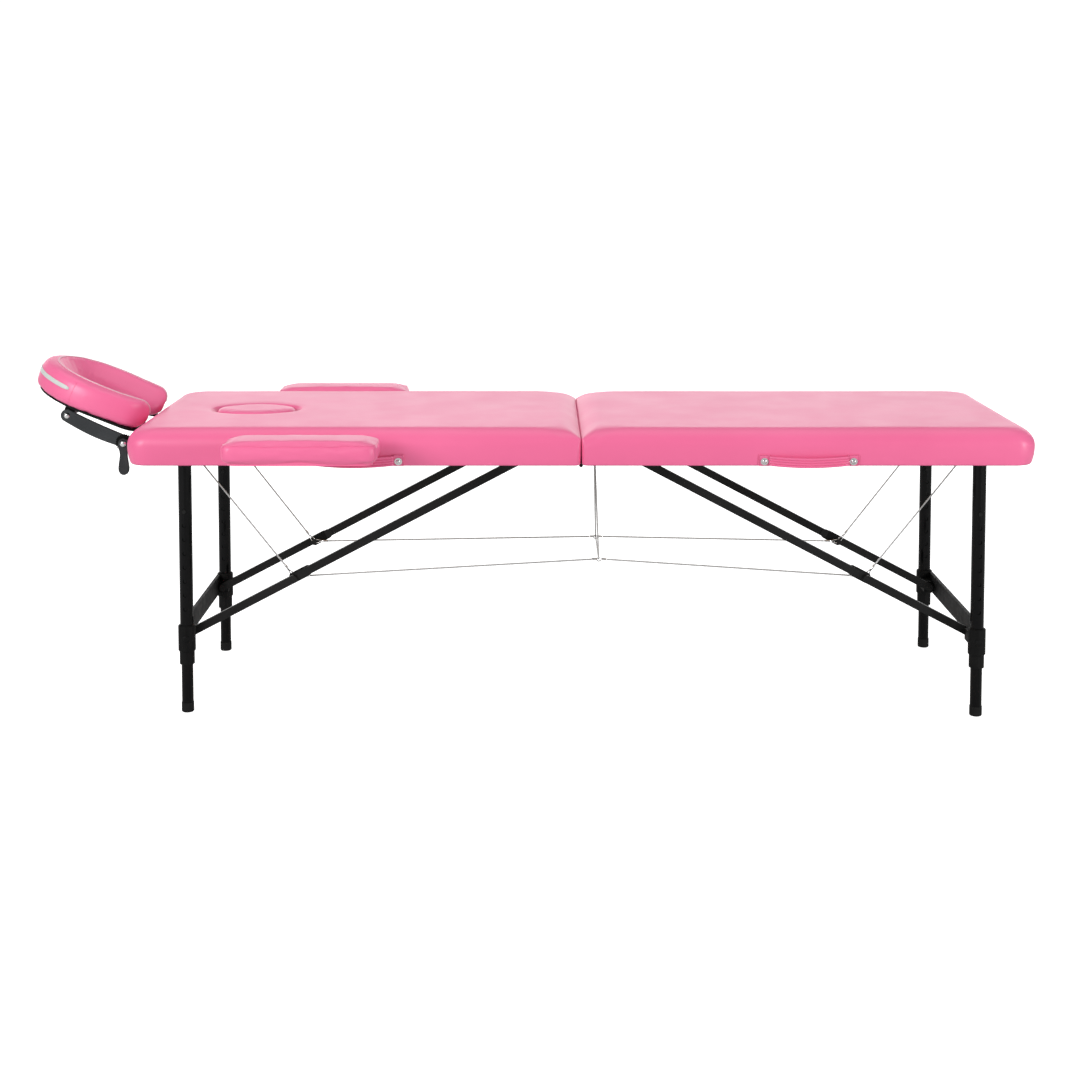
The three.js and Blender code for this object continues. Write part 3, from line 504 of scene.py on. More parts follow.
def panel_pad(name, direction, has_hole):
    """A pad with rounded top edges, a soft roll at the fold line and walls that pull in below.
    The cover wraps round the bottom edge and up to the deck, so the legs fold into the well."""
    seam_x, end_x = FOLD_X + direction * SEAM_SLACK, FOLD_X + direction * PAD_END

    def ring(side, end, seam, heights):
        """One closed line of the cover, set in by these amounts from its sides, end and seam."""
        near, far = seam_x + direction * seam, end_x - direction * end
        at_seam, at_end = SEAM_CORNER + 1.1 * seam, END_CORNER
        radii = (at_end, at_seam) if direction > 0 else (at_seam, at_end)
        points = rounded_outline(min(near, far), max(near, far), side - HALF_WIDTH, HALF_WIDTH - side, radii)
        return [Vector((p.x, p.y, z)) for p, z in zip(points, heights)]

    flat = ring(0, 0, 0, [0] * 1000)
    outline = [Vector((p.x, p.y)) for p in flat]
    count = len(outline)
    near_seam = [smoothstep(0.25, 0.95, -normal.x * direction) for normal in outline_normals(outline)]
    drop = [EDGE_DROP + (SEAM_DROP - EDGE_DROP) * w for w in near_seam]
    rings = []
    for height in (DECK_TOP - 0.003, PAD_BOTTOM + 0.004):
        rings.append(ring(SKIRT_INSET, SKIRT_INSET, SKIRT_INSET, [height] * count))
    rings.append(ring(WALL_PULL + 0.0015, WALL_PULL + 0.0015, SEAM_PULL + 0.0015, [PAD_BOTTOM] * count))
    wall_steps = 14
    for step in range(wall_steps + 1):
        t = step / wall_steps                      # 0 at the bottom edge, 1 under the rounding
        pull = WALL_PULL * (1 - t) ** 2.2
        heights = [PAD_BOTTOM + WALL_FOOT + (PAD_TOP - d - PAD_BOTTOM - WALL_FOOT) * t for d in drop]
        rings.append(ring(pull, pull, SEAM_PULL * (1 - t) ** 2.2, heights))
    edge_steps = 20
    for step in range(1, edge_steps + 1):
        share = step / edge_steps
        bend = 1 - math.sin(math.pi / 2 * (1 - share))
        rise = math.cos(math.pi / 2 * (1 - share))
        roll = 1 - (1 - share) ** 1.8              # the cover comes up to the fold line at a slant
        heights = [PAD_TOP - d * (1 - rise + (rise - roll) * w) for d, w in zip(drop, near_seam)]
        rings.append(ring(EDGE_ACROSS * bend, EDGE_ACROSS * bend, SEAM_ACROSS * share, heights))
    inner_edge = rings[-1]
    x0, x1 = min(seam_x, end_x), max(seam_x, end_x)
    middle = Vector((PLUG_CENTRE.x, 0)) if has_hole else Vector(((x0 + x1) / 2, 0))
    half_length = (PLUG_HIGH.x - PLUG_LOW.x) / 2 + HOLE_CLEARANCE
    half_width = (PLUG_HIGH.y - PLUG_LOW.y) / 2 + HOLE_CLEARANCE
    angles = [math.atan2(p.y - middle.y, p.x - middle.x) for p in inner_edge]

    def hole_ring(grow, height):
        """The oval of the face hole, grown outward, with its points facing the outline's."""
        points = []
        for angle in angles:
            turn = math.atan2(math.sin(angle) / half_width, math.cos(angle) / half_length)
            points.append(middle + pinched_oval(half_length + grow, half_width + grow, turn))
        return at_height(points, height)

    top_steps = 40
    target = hole_ring(HOLE_ROLL + HOLE_SHOULDER if has_hole else -0.04, PAD_TOP)
    for step in range(1, top_steps + 1):
        t = step / top_steps
        rings.append([a.lerp(b, t) for a, b in zip(inner_edge, target)])
    if has_hole:
        for step in range(1, 17):
            t = step / 16
            grow = HOLE_ROLL * (1 - t) ** 0.8 + HOLE_SHOULDER * max(0, 1 - 2.5 * t)
            rings.append(hole_ring(grow, PAD_TOP - HOLE_GROOVE * t ** 2.2))
        rings.append(hole_ring(0.0, PAD_TOP - HOLE_GROOVE))
        rings.append(hole_ring(0.0, DECK_TOP + 0.0006))
    pad = loft(name, rings, caps=(False, not has_hole))
    for vertex in pad.data.vertices:
        co = vertex.co
        if co.z < PAD_TOP - 0.05:
            continue
        # the stuffed top is not quite level, and the cover ripples a little round the corners
        swell = noise.noise(Vector((co.x * 5, co.y * 6, 3 + direction))) * 0.0009
        co.z += swell - 0.0006
    close_underside(pad, has_hole)
    return pad


def close_underside(pad, has_hole):
    """Closes the cover along the deck, leaving the face hole open."""
    work = bmesh.new()
    work.from_mesh(pad.data)
    loose = [edge for edge in work.edges if edge.is_boundary]
    bmesh.ops.bridge_loops(work, edges=loose) if has_hole else bmesh.ops.contextual_create(work, geom=loose)
    bmesh.ops.recalc_face_normals(work, faces=work.faces)
    work.to_mesh(pad.data)
    work.free()
    shade_smooth(pad.data)


def soft_box(name, low, high, corner, edge, crown):
    """A stuffed block: rounded edges, a crowned top and walls that swell at the middle."""
    low, high = Vector(low), Vector(high)
    outline = rounded_outline(low.x, high.x, low.y, high.y, (corner, corner), 8, 10, 26)
    normals = outline_normals(outline)
    rings = []

    def ring(inset, z):
        return [Vector((p.x - n.x * inset, p.y - n.y * inset, z)) for p, n in zip(outline, normals)]

    rows, steps = 9, 6
    for step in range(steps + 1):
        phi = math.pi / 2 * (1 - step / steps)
        rings.append(ring(edge * (1 - math.cos(phi)) + 0.001, low.z + edge * (1 - math.sin(phi))))
    for step in range(1, rows):
        t = step / rows
        rings.append(ring(0.001 * abs(2 * t - 1), low.z + edge + (high.z - low.z - 2 * edge) * t))
    for step in range(steps + 1):
        phi = math.pi / 2 * step / steps
        rings.append(ring(edge * (1 - math.cos(phi)) + 0.001, high.z - edge * (1 - math.sin(phi))))
    centre = (low + high) / 2
    for base, z, up in ((rings[0], low.z, False), (rings[-1], high.z, True)):
        inner = []
        for step in range(1, 8):
            t = step / 8
            inner.append([Vector((p.x + (centre.x - p.x) * t, p.y + (centre.y - p.y) * t, z)) for p in base])
        rings = rings + inner if up else list(reversed(inner)) + rings
    piece = loft(name, rings)
    for vertex in piece.data.vertices:
        if vertex.co.z > centre.z:
            u = (vertex.co.x - centre.x) / (high.x - centre.x)
            v = (vertex.co.y - centre.y) / (high.y - centre.y)
            vertex.co.z += crown * (max(0, 1 - u * u) * max(0, 1 - v * v) - 1) * (
                (vertex.co.z - centre.z) / (high.z - centre.z))
    return piece


def puff(piece, voxel, pressure, cap):
    """Swells a pad by cloth simulation, holds each point within cap of its start, and applies it."""
    remesh = piece.modifiers.new("remesh", "REMESH")
    remesh.mode = "VOXEL"
    remesh.voxel_size = voxel
    remesh.use_smooth_shade = True
    apply_modifiers(piece)
    start = [vertex.co.copy() for vertex in piece.data.vertices]
    cloth = piece.modifiers.new("cloth", "CLOTH")
    settings = cloth.settings
    settings.quality = 4
    settings.mass = 0.3
    settings.tension_stiffness = 30
    settings.compression_stiffness = 30
    settings.shear_stiffness = 15
    settings.bending_stiffness = 0.8
    settings.use_pressure = True
    settings.uniform_pressure_force = pressure
    settings.effector_weights.gravity = 0
    cloth.collision_settings.use_collision = False
    cloth.point_cache.frame_start = 1
    cloth.point_cache.frame_end = CLOTH_FRAMES
    scene = bpy.context.scene
    for number in range(1, CLOTH_FRAMES + 1):
        scene.frame_set(number)
    apply_modifiers(piece)
    scene.frame_set(1)
    for vertex, origin in zip(piece.data.vertices, start):
        move = vertex.co - origin
        if move.length > cap:
            move *= cap / move.length
        vertex.co = origin + move
    shade_smooth(piece.data)
    return subdivide(piece, 1)


def stitch_row(name, points, length, gap, radius, lift=None):
    """Separate thread stitches along a path, in one mesh."""
    points = [Vector(p) for p in points]
    spans = [(b - a).length for a, b in zip(points, points[1:])]
    total = sum(spans)

    def at(distance):
        for (a, b), span in zip(zip(points, points[1:]), spans):
            if distance <= span:
                return a.lerp(b, distance / span if span else 0)
            distance -= span
        return points[-1]

    vertices, faces = [], []
    sides = 5
    travelled = 0.0
    while travelled + length < total:
        a, b = at(travelled), at(travelled + length)
        travelled += length + gap
        _, first, second = frame_for(b - a)
        base = len(vertices)
        for t, raised, girth in ((0, 0, 0.5), (0.2, 0.7, 1), (0.8, 0.7, 1), (1, 0, 0.5)):
            centre = a.lerp(b, t) + (lift or Vector()) * raised
            for k in range(sides):
                angle = math.tau * k / sides
                round_thread = first * math.cos(angle) + second * math.sin(angle)
                vertices.append(centre + round_thread * radius * girth)
        for row in range(3):
            for k in range(sides):
                n = (k + 1) % sides
                low, high = base + row * sides, base + (row + 1) * sides
                faces.append((low + k, low + n, high + n, high + k))
        faces.append(tuple(base + k for k in reversed(range(sides))))
        faces.append(tuple(base + 3 * sides + k for k in range(sides)))
    return new_object(name, vertices, faces)


def make_pads():
    for half, direction in HALVES.items():
        pad = panel_pad(f"{half}_upholstery", direction, half == "head")
        finish_piece(pad, PINK, f"{half}_panel")
        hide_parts(f"{half}_pad")


def make_plug():
    half_length = (PLUG_HIGH.x - PLUG_LOW.x) / 2
    half_width = (PLUG_HIGH.y - PLUG_LOW.y) / 2
    rings = []

    def ring(inset, z):
        return [Vector((PLUG_CENTRE.x, 0, z)) + pinched_oval(
            half_length - inset, half_width - inset, math.tau * k / 96).to_3d() for k in range(96)]

    top = PLUG_HIGH.z - 0.0005
    for inset, height in ((0.012, PLUG_LOW.z), (0.004, PLUG_LOW.z + 0.001),
                          (0.0015, PLUG_LOW.z + 0.006), (0.0005, top - 0.013)):
        rings.append(ring(inset, height))
    for step in range(1, 8):
        phi = math.pi / 2 * step / 7
        rings.append(ring(0.0005 + 0.013 * (1 - math.cos(phi)), top - 0.011 * (1 - math.sin(phi))))
    for step in range(1, 8):
        rings.append(ring(0.0135 + (half_width - 0.02) * step / 7, top))
    plug = loft("face_plug_upholstery", rings)
    plug = puff(plug, 0.004, 3, 0.0012)
    finish_piece(plug, PINK, "face_hole_plug")
    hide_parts("face_hole_plug")


def board(name, outline, low, high, hole=None):
    """A flat board with a given outline and, at most, one hole."""
    piece = loft(name, [at_height(outline, z) for z in (low, high)])
    if hole:
        cut_by(piece, loft("hole", [at_height(hole, z) for z in (low - 0.01, high + 0.01)]))
    return shade_by_angle(piece)


def make_frames():
    """Rounded plywood deck and aluminium frame of each half, behind the cover's skirt."""
    for half, direction in HALVES.items():
        low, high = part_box(f"{half}_deck")
        radii = (BOARD_CORNER, 0.004) if direction > 0 else (0.004, BOARD_CORNER)
        outline = rounded_outline(low.x, high.x, low.y, high.y, radii, 10, 4, 4)
        hole = None
        if half == "head":
            reach = (PLUG_HIGH - PLUG_LOW) / 2 - Vector((0.009, 0.009, 0))
            hole = [Vector((PLUG_CENTRE.x, 0)) + pinched_oval(reach.x, reach.y, math.tau * k / 64)
                    for k in range(64)]
        deck = board(f"{half}_plywood", outline, low.z, high.z, hole)
        finish_piece(deck, WOOD, f"{half}_panel")
        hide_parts(f"{half}_deck")
        low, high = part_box(f"{half}_frame")
        outer = rounded_outline(low.x, high.x, low.y, high.y, radii, 10, 4, 4)
        small = tuple(max(radius - RAIL_WIDTH, 0.002) for radius in radii)
        inner = rounded_outline(low.x + RAIL_WIDTH, high.x - RAIL_WIDTH, low.y + RAIL_WIDTH,
                                high.y - RAIL_WIDTH, small, 10, 4, 4)
        rings = [at_height(outer, low.z), at_height(outer, high.z),
                 at_height(inner, high.z), at_height(inner, low.z)]
        rails = shade_by_angle(loft(f"{half}_rails", rings, closed_loft=True))
        finish_piece(rails, ALUMINIUM, f"{half}_panel")
        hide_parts(f"{half}_frame")


ROD_X = (FOLD_X - 0.690, FOLD_X - 0.583)      # the two rods of each armrest


def armrest_underside(side_name, side):
    """Covered board, with two rods that run into the frame."""
    low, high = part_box(f"{side_name}_armrest_pad")
    body = f"{side_name}_armrest"
    x0, x1 = low.x + 0.016, high.x - 0.016
    outline = rounded_outline(x0, x1, low.y + 0.018, high.y - 0.018, (0.018, 0.018), 6, 4, 4)
    panel = board(f"{side_name}_armrest_board", outline, low.z - 0.0035, low.z + 0.004)
    finish_piece(panel, PINK_STRAP, body)
    base_low, base_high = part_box(f"{side_name}_armrest_base")
    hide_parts(f"{side_name}_armrest_base")
    inner = base_low.y if side > 0 else base_high.y
    outer = side * (abs(low.y + high.y) / 2)
    for number, x in enumerate(ROD_X):
        z = base_low.z + 0.0112
        rod = tube(f"{side_name}_armrest_rod_{number}", [(x, inner, z), (x, outer, z)], 0.0045, 16)
        finish_piece(shade_by_angle(rod), ALUMINIUM, body)


def armrest_seams(pad, side_name, low, high):
    """A welt round the top edge and a seam down each corner."""
    body = f"{side_name}_armrest"
    top = rounded_outline(low.x + 0.006, high.x - 0.006, low.y + 0.006, high.y - 0.006,
                          (0.020, 0.020), 8, 30, 14)
    line = surface_points(pad, at_height(top, high.z - 0.003), 0.0001)
    welt = tube(f"{side_name}_armrest_welt", line, 0.0009, 8, closed=True)
    finish_piece(welt, PINK_STRAP, body)
    centre = (low + high) / 2
    for number, (x, y) in enumerate(((low.x, low.y), (low.x, high.y), (high.x, low.y), (high.x, high.y))):
        inward = Vector((math.copysign(0.010, centre.x - x), math.copysign(0.010, centre.y - y), 0))
        heights = [low.z + 0.006 + (high.z - low.z - 0.012) * k / 10 for k in range(11)]
        line = surface_points(pad, [Vector((x, y, z)) + inward for z in heights], 0.0)
        seam = tube(f"{side_name}_armrest_seam_{number}", line, 0.0007, 6)
        finish_piece(seam, PINK_STRAP, body)
        line = surface_points(pad, [Vector((x, y, z)) + inward * 1.5 for z in heights], 0.0001)
        stitches = stitch_row(f"{side_name}_armrest_stitches_{number}", line, 0.0026, 0.0016, 0.0004)
        finish_piece(stitches, PINK_STITCH, body)


def make_armrests():
    for side_name, side in SIDES.items():
        low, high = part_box(f"{side_name}_armrest_pad")
        shrink = Vector((0.003, 0.003, 0.002))
        pad = soft_box(f"{side_name}_armrest_upholstery", low + shrink, high - shrink, 0.022, 0.011, 0.003)
        pad = puff(pad, 0.005, 4, 0.005)
        finish_piece(pad, PINK, f"{side_name}_armrest")
        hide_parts(f"{side_name}_armrest_pad")
        armrest_underside(side_name, side)
        armrest_seams(pad, side_name, low, high)


# ---- Headrest ----

TILT = math.radians(21.4)
CUSHION_LOW, CUSHION_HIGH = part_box("headrest_cushion")
CUSHION_CENTRE = (CUSHION_LOW + CUSHION_HIGH) / 2
CUSHION_LENGTH = 0.267
CUSHION_BAND = 0.083
CUSHION_THICKNESS = 0.062
CUSHION_TURN = Matrix.Rotation(TILT, 4, "Y")
BAND_RADIUS = (CUSHION_HIGH.y - CUSHION_LOW.y - CUSHION_BAND) / 2
BEND_X = -CUSHION_LENGTH / 2 + (CUSHION_HIGH.y - CUSHION_LOW.y) / 2
TIP_X = CUSHION_LENGTH / 2 - CUSHION_BAND / 2
PIPING_ACROSS = 0.30            # share of the half band, outward from its middle line
STRIP_HEIGHT = 0.0095
ARM_PINCH = 0.010               # how far the arms of the horseshoe lean together at their tips


def on_headrest(x, y, z):
    """A point of the cushion's own axes in the row frame. z is 0 on its underside."""
    return CUSHION_CENTRE + CUSHION_TURN @ Vector((x, y, z - CUSHION_THICKNESS / 2))


def horseshoe_path():
    """Middle line of the band from the front tip round the outer end to the rear tip, with its
    outward direction and the share of the band's width that is left at each point."""
    stations = []
    arm = TIP_X - BEND_X
    half_band = CUSHION_BAND / 2
    straight, round_end, bend = 12, 8, 40

    def arm_point(along, side):
        lean = max(0.0, along / arm) ** 2
        return Vector((BEND_X + along, side * (BAND_RADIUS - ARM_PINCH * lean)))

    for k in range(round_end + 1):
        phi = math.pi / 2 * (1 - k / round_end)
        reach = arm + half_band * 0.97 * math.sin(phi)
        stations.append((arm_point(reach, -1), Vector((0, -1)), max(math.cos(phi), 0.12)))
    for k in range(1, straight):
        stations.append((arm_point(arm * (1 - k / straight), -1), Vector((0, -1)), 1.0))
    for k in range(bend + 1):
        angle = -math.pi / 2 - math.pi * k / bend
        outward = Vector((math.cos(angle), math.sin(angle)))
        stations.append((Vector((BEND_X, 0)) + outward * BAND_RADIUS, outward, 1.0))
    mirrored = [(Vector((p.x, -p.y)), Vector((n.x, -n.y)), w)
                for p, n, w in stations[:round_end + straight]]
    return stations + list(reversed(mirrored))


def band_profile(width):
    """Section of the band: across is positive outward. A high outer rim, a dished top."""
    w = CUSHION_BAND / 2 * width
    t = CUSHION_THICKNESS
    lift = 0.35 + 0.65 * min(1.0, width * 1.2)
    shape = [(0.72, 0.00), (0.90, 0.03), (0.985, 0.14), (1.0, 0.34), (0.99, 0.56), (0.94, 0.76),
             (0.84, 0.90), (0.68, 0.975), (0.48, 1.0), (0.28, 0.985), (0.10, 0.93), (-0.12, 0.81),
             (-0.40, 0.68), (-0.66, 0.56), (-0.86, 0.43), (-0.96, 0.28), (-0.96, 0.14), (-0.88, 0.04),
             (-0.70, 0.00), (-0.25, 0.0), (0.25, 0.0)]
    return [(a * w, t * (0.5 + (z - 0.5) * lift) if width < 0.9 else t * z) for a, z in shape]


def headrest_cushion():
    rings = []
    for middle, outward, width in horseshoe_path():
        ring = []
        for across, up in band_profile(width):
            flat = middle + outward * across
            ring.append(on_headrest(flat.x, flat.y, up))
        rings.append(ring)
    cushion = loft("headrest_upholstery", rings)
    cushion = puff(cushion, 0.0045, 4, 0.004)
    finish_piece(cushion, PINK, "headrest_platform")
    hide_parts("headrest_cushion")
    return cushion


def surface_points(piece, points, lift):
    """Points moved onto the nearest place of a piece's surface, and lifted off it."""
    tree = BVHTree.FromObject(piece, bpy.context.evaluated_depsgraph_get())
    moved = []
    for point in points:
        place, normal = tree.find_nearest(point)[:2]
        moved.append(place + normal * lift)
    return moved


def on_outer_wall(angle, height):
    """A point just outside the cushion's round outer wall."""
    radius = BAND_RADIUS + CUSHION_BAND / 2 + 0.004
    return on_headrest(BEND_X + radius * math.cos(angle), radius * math.sin(angle), height)


def headrest_trim(cushion):
    """Piping round the rim, whose pale colour is a painted highlight for the sheen along the rim, the pale
    strip on the outer wall and a seam at each end of it.
    """
    rim = []
    for middle, outward, width in horseshoe_path():
        flat = middle + outward * (CUSHION_BAND / 2 * width * PIPING_ACROSS)
        rim.append(on_headrest(flat.x, flat.y, CUSHION_THICKNESS * (0.5 + 0.47 * min(1, width + 0.1))))
    rim = surface_points(cushion, rim, 0.0004)
    piping = tube("headrest_piping", smooth_path(rim, 3), 0.0015, 10)
    finish_piece(piping, SHEEN_PIPING, "headrest_platform")
    strip_points = []
    rows = 5
    steps = 44
    reach = math.radians(70)
    for row in range(rows):
        line = []
        for k in range(steps + 1):
            angle = math.pi + reach * (2 * k / steps - 1)
            taper = min(1.0, 0.6 + 12.0 * min(k, steps - k) / steps)
            height = CUSHION_THICKNESS * 0.56 + (row / (rows - 1) - 0.5) * STRIP_HEIGHT * taper
            line.append(on_outer_wall(angle, height))
        strip_points.append(surface_points(cushion, line, 0.0007))
    vertices = [p for line in strip_points for p in line]
    across = steps + 1
    corners = [r * across + k for r in range(rows - 1) for k in range(steps)]
    faces = [(a, a + 1, a + across + 1, a + across) for a in corners]
    strip = new_object("headrest_strip", vertices, faces)
    solidify = strip.modifiers.new("thick", "SOLIDIFY")
    solidify.thickness = 0.0012
    solidify.offset = 0
    apply_modifiers(strip)
    finish_piece(strip, STRIP, "headrest_platform")
    for number, degrees in enumerate((-74, 74)):
        angle = math.pi - math.radians(degrees)
        line = [on_outer_wall(angle, CUSHION_THICKNESS * (0.08 + 0.84 * k / 12)) for k in range(13)]
        seam = tube(f"headrest_seam_{number}", surface_points(cushion, line, 0.0), 0.0007, 6)
        finish_piece(seam, PINK_STRAP, "headrest_platform")


DOME = [(0.0068, -0.001), (0.0068, 0.0), (0.0064, 0.0008), (0.0052, 0.0022), (0.0030, 0.0032),
        (0.0002, 0.0034)]
HUB_Y = (-0.1052, -0.0998)      # the serrated disc, between the lever and the arm plate
HUB_RADIUS = 0.0172
HUB_TEETH = 26
HEADREST_HUB = Vector(JOINTS["headrest_arm_tilt"]["pos_m"])
HEADREST_PIVOT = Vector(JOINTS["headrest_platform_tilt"]["pos_m"])


def headrest_hardware():
    """Bolts at the two pivots, the serrated hub and the clamp lever."""
    hub_at, pivot = HEADREST_HUB, HEADREST_PIVOT
    arm_low, arm_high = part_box("headrest_arm")
    for side_name, side in SIDES.items():
        face = arm_high.y if side > 0 else arm_low.y
        bolt = turned(f"headrest_pivot_bolt_{side_name}", DOME, (pivot.x, face, pivot.z), (0, side, 0))
        finish_piece(bolt, CHROME, "headrest_arm")
    lever_low, lever_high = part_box("headrest_lever")
    nut = turned("headrest_lever_bolt", DOME, (hub_at.x, lever_low.y - 0.0021, hub_at.z), (0, -1, 0))
    finish_piece(nut, CHROME, "headrest_slider")
    rings = []
    for y, grow in ((HUB_Y[0], 0.0), (HUB_Y[0] - 0.0006, 0.0004), (HUB_Y[1] + 0.0002, 0.0004)):
        ring = []
        for k in range(HUB_TEETH * 4):
            angle = math.tau * k / (HUB_TEETH * 4)
            radius = HUB_RADIUS + grow + 0.0011 * (1 if k % 4 in (1, 2) else -1)
            ring.append(Vector((hub_at.x + radius * math.cos(angle), y, hub_at.z + radius * math.sin(angle))))
        rings.append(ring)
    hub = loft("headrest_serrated_hub", rings)
    finish_piece(shade_by_angle(hub), MATT_BLACK, "headrest_slider")
    finish_piece(cam_lever(lever_low, lever_high, hub_at), LEVER_GREY, "headrest_lever")


def arm_plate(name, hub, pivot, low_y, high_y):
    """A forged arm plate: round ends and a lower edge that bellies out."""
    along = Vector((pivot.x - hub.x, 0, pivot.z - hub.z))
    length = along.length
    along.normalize()
    up = Vector((along.z, 0, -along.x))
    if up.z < 0:
        up = -up
    end, belly, waist = 0.0135, 0.0050, 0.0016
    half_turn = [math.radians(degrees) for degrees in range(0, 181, 15)]
    outline = [(-end * math.sin(a), end * math.cos(a)) for a in half_turn]
    outline += [(length * t, -end - belly * math.sin(math.pi * t)) for t in (k / 14 for k in range(1, 14))]
    outline += [(length + end * math.sin(a), -end * math.cos(a)) for a in half_turn]
    outline += [(length * t, end - waist * math.sin(math.pi * t)) for t in (1 - k / 14 for k in range(1, 14))]
    rings = []
    for y, shrink in ((low_y, 0.90), (low_y + 0.0010, 1.0), (high_y - 0.0010, 1.0), (high_y, 0.90)):
        centre, shorten = Vector((hub.x, y, hub.z)), 1 - (1 - shrink) * 0.08
        rings.append([centre + along * (length / 2 + (u - length / 2) * shorten) + up * v * shrink
                      for u, v in outline])
    return shade_by_angle(loft(name, rings), 30)


def headrest_arm():
    """Two arm plates in place of the plain frame, and the cross rod that joins them."""
    pivot = HEADREST_PIVOT
    low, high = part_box("headrest_arm")
    for side_name, side in SIDES.items():
        outer = high.y if side > 0 else low.y
        inner = outer - side * 0.005
        plate = arm_plate(f"headrest_arm_plate_{side_name}", HEADREST_HUB, pivot,
                          min(inner, outer), max(inner, outer))
        finish_piece(plate, DARK_FRAME, "headrest_arm")
        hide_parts("headrest_arm")
    ends = [(pivot.x, low.y + 0.002, pivot.z), (pivot.x, high.y - 0.002, pivot.z)]
    rod = tube("headrest_arm_rod", ends, 0.006, 20)
    finish_piece(shade_by_angle(rod), DARK_FRAME, "headrest_arm")


def cam_lever(low, high, hub):
    """A moulded lever: round head on the hub, a waist, then a broad rounded tip."""
    half_shape = [(0.000, 0.0115), (0.008, 0.0112), (0.016, 0.0088), (0.024, 0.0080), (0.034, 0.0090),
                  (0.044, 0.0106), (0.053, 0.0116), (0.060, 0.0108), (0.0655, 0.0072), (0.0675, 0.0030)]
    head = [(-0.0113 * math.cos(math.radians(a)), 0.0113 * math.sin(math.radians(a)))
            for a in (8, 30, 55, 75)]
    profile = head + half_shape
    rings = []
    thickness = high.y - low.y
    for y, inset in ((0.0, 0.0014), (0.0012, 0.0), (thickness - 0.0016, 0.0), (thickness, 0.0018)):
        right = [Vector((hub.x + max(w - inset, 0.0006), high.y - y, hub.z - d)) for d, w in profile]
        left = [Vector((hub.x - max(w - inset, 0.0006), high.y - y, hub.z - d)) for d, w in reversed(profile)]
        rings.append(right + left)
    lever = shade_by_angle(loft("headrest_cam_lever", rings), 30)
    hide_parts("headrest_lever")
    return lever


# ---- Handles ----

HANDLE_SAG = 0.0035
RIBS = 4
TAB_WIDTH = 0.024
TAB_RISE = 0.0025                # the tabs stand a little above the strap


def wall_y(z):
    """Where the front wall of the cover is at a height."""
    foot = PAD_BOTTOM + WALL_FOOT
    t = min(max((z - foot) / (PAD_TOP - EDGE_DROP - foot), 0), 1)
    return WALL_PULL * (1 - t) ** 2.2 - HALF_WIDTH


def handle_tab(name, x, low_z, high_z, width):
    """A stitched leather square that follows the wall of the pad."""
    rows, columns = 8, 8
    vertices = []
    for layer in (0.0006, 0.0030):
        for r in range(rows + 1):
            for c in range(columns + 1):
                u, v = c / columns, r / rows
                z = low_z + (high_z - low_z) * v
                border = min(u, v, 1 - u, 1 - v)
                pillow = 0.72 + 0.28 * smoothstep(0, 0.14, border)
                lift = layer * pillow if layer > 0.001 else layer - 0.0012
                vertices.append((x - width / 2 + width * u, wall_y(z) - lift, z))
    per_layer = (rows + 1) * (columns + 1)
    faces = []
    for layer in range(2):
        for r in range(rows):
            for c in range(columns):
                a = layer * per_layer + r * (columns + 1) + c
                faces.append((a, a + 1, a + columns + 2, a + columns + 1))
    edge = list(range(columns + 1)) + [r * (columns + 1) + columns for r in range(1, rows + 1)]
    edge += [rows * (columns + 1) + c for c in range(columns - 1, -1, -1)]
    edge += [r * (columns + 1) for r in range(rows - 1, 0, -1)]
    for a, b in zip(edge, edge[1:] + edge[:1]):
        faces.append((a, b, b + per_layer, a + per_layer))
    return subdivide(fix_normals(new_object(name, vertices, faces)), 1)


def handle_strap(name, x0, x1, low_z, high_z, bow):
    """Padded strap of stitched ribs between the tabs: it bows out and sags in the middle."""
    stations = 40
    rings = []
    height = high_z - low_z - 0.002
    for k in range(stations + 1):
        t = k / stations
        arch = math.sin(math.pi * t)
        x = x0 + (x1 - x0) * t
        centre_z = (low_z + high_z) / 2 - HANDLE_SAG * arch ** 0.9 + 0.0005
        centre_y = wall_y(centre_z) - 0.0038 - bow * arch ** 0.7
        ring = []
        outer = 33
        for j in range(outer):
            v = j / (outer - 1)
            rib = abs(math.sin(math.pi * RIBS * v)) ** 0.55
            ring.append(Vector((x, centre_y - 0.0008 - 0.0030 * rib, centre_z + height * (v - 0.5))))
        for j in range(7):
            v = 1 - (j + 0.5) / 7
            ring.append(Vector((x, centre_y + 0.0014, centre_z + height * 0.96 * (v - 0.5))))
        rings.append(ring)
    return loft(name, rings)


def phillips_screw(name, x, y, z):
    """A domed screw head with a cross recess, on a washer."""
    washer = turned("washer", [(0.0002, 0.0), (0.0074, 0.0), (0.0080, 0.0004), (0.0078, 0.0011),
                               (0.0060, 0.0013), (0.0002, 0.0013)], (x, y, z), (0, -1, 0))
    head = turned("head", [(0.0002, 0.0010), (0.0052, 0.0010), (0.0053, 0.0018), (0.0045, 0.0031),
                           (0.0030, 0.0039), (0.0014, 0.0042), (0.0002, 0.0043)], (x, y, z), (0, -1, 0))
    for angle in (35, 125):
        cutter = new_box("cutter", (x - 0.0031, y - 0.0060, z - 0.0006), (x + 0.0031, y - 0.0029, z + 0.0006))
        cut_by(head, tip_by(cutter, (x, y, z), "Y", math.radians(angle)))
    return shade_by_angle(joined(name, [washer, head]), 35)


def tip_by(piece, at, axis, angle):
    """Turns a piece about a line through a point."""
    at = Vector(at)
    piece.data.transform(Matrix.Translation(at) @ Matrix.Rotation(angle, 4, axis) @ Matrix.Translation(-at))
    return piece


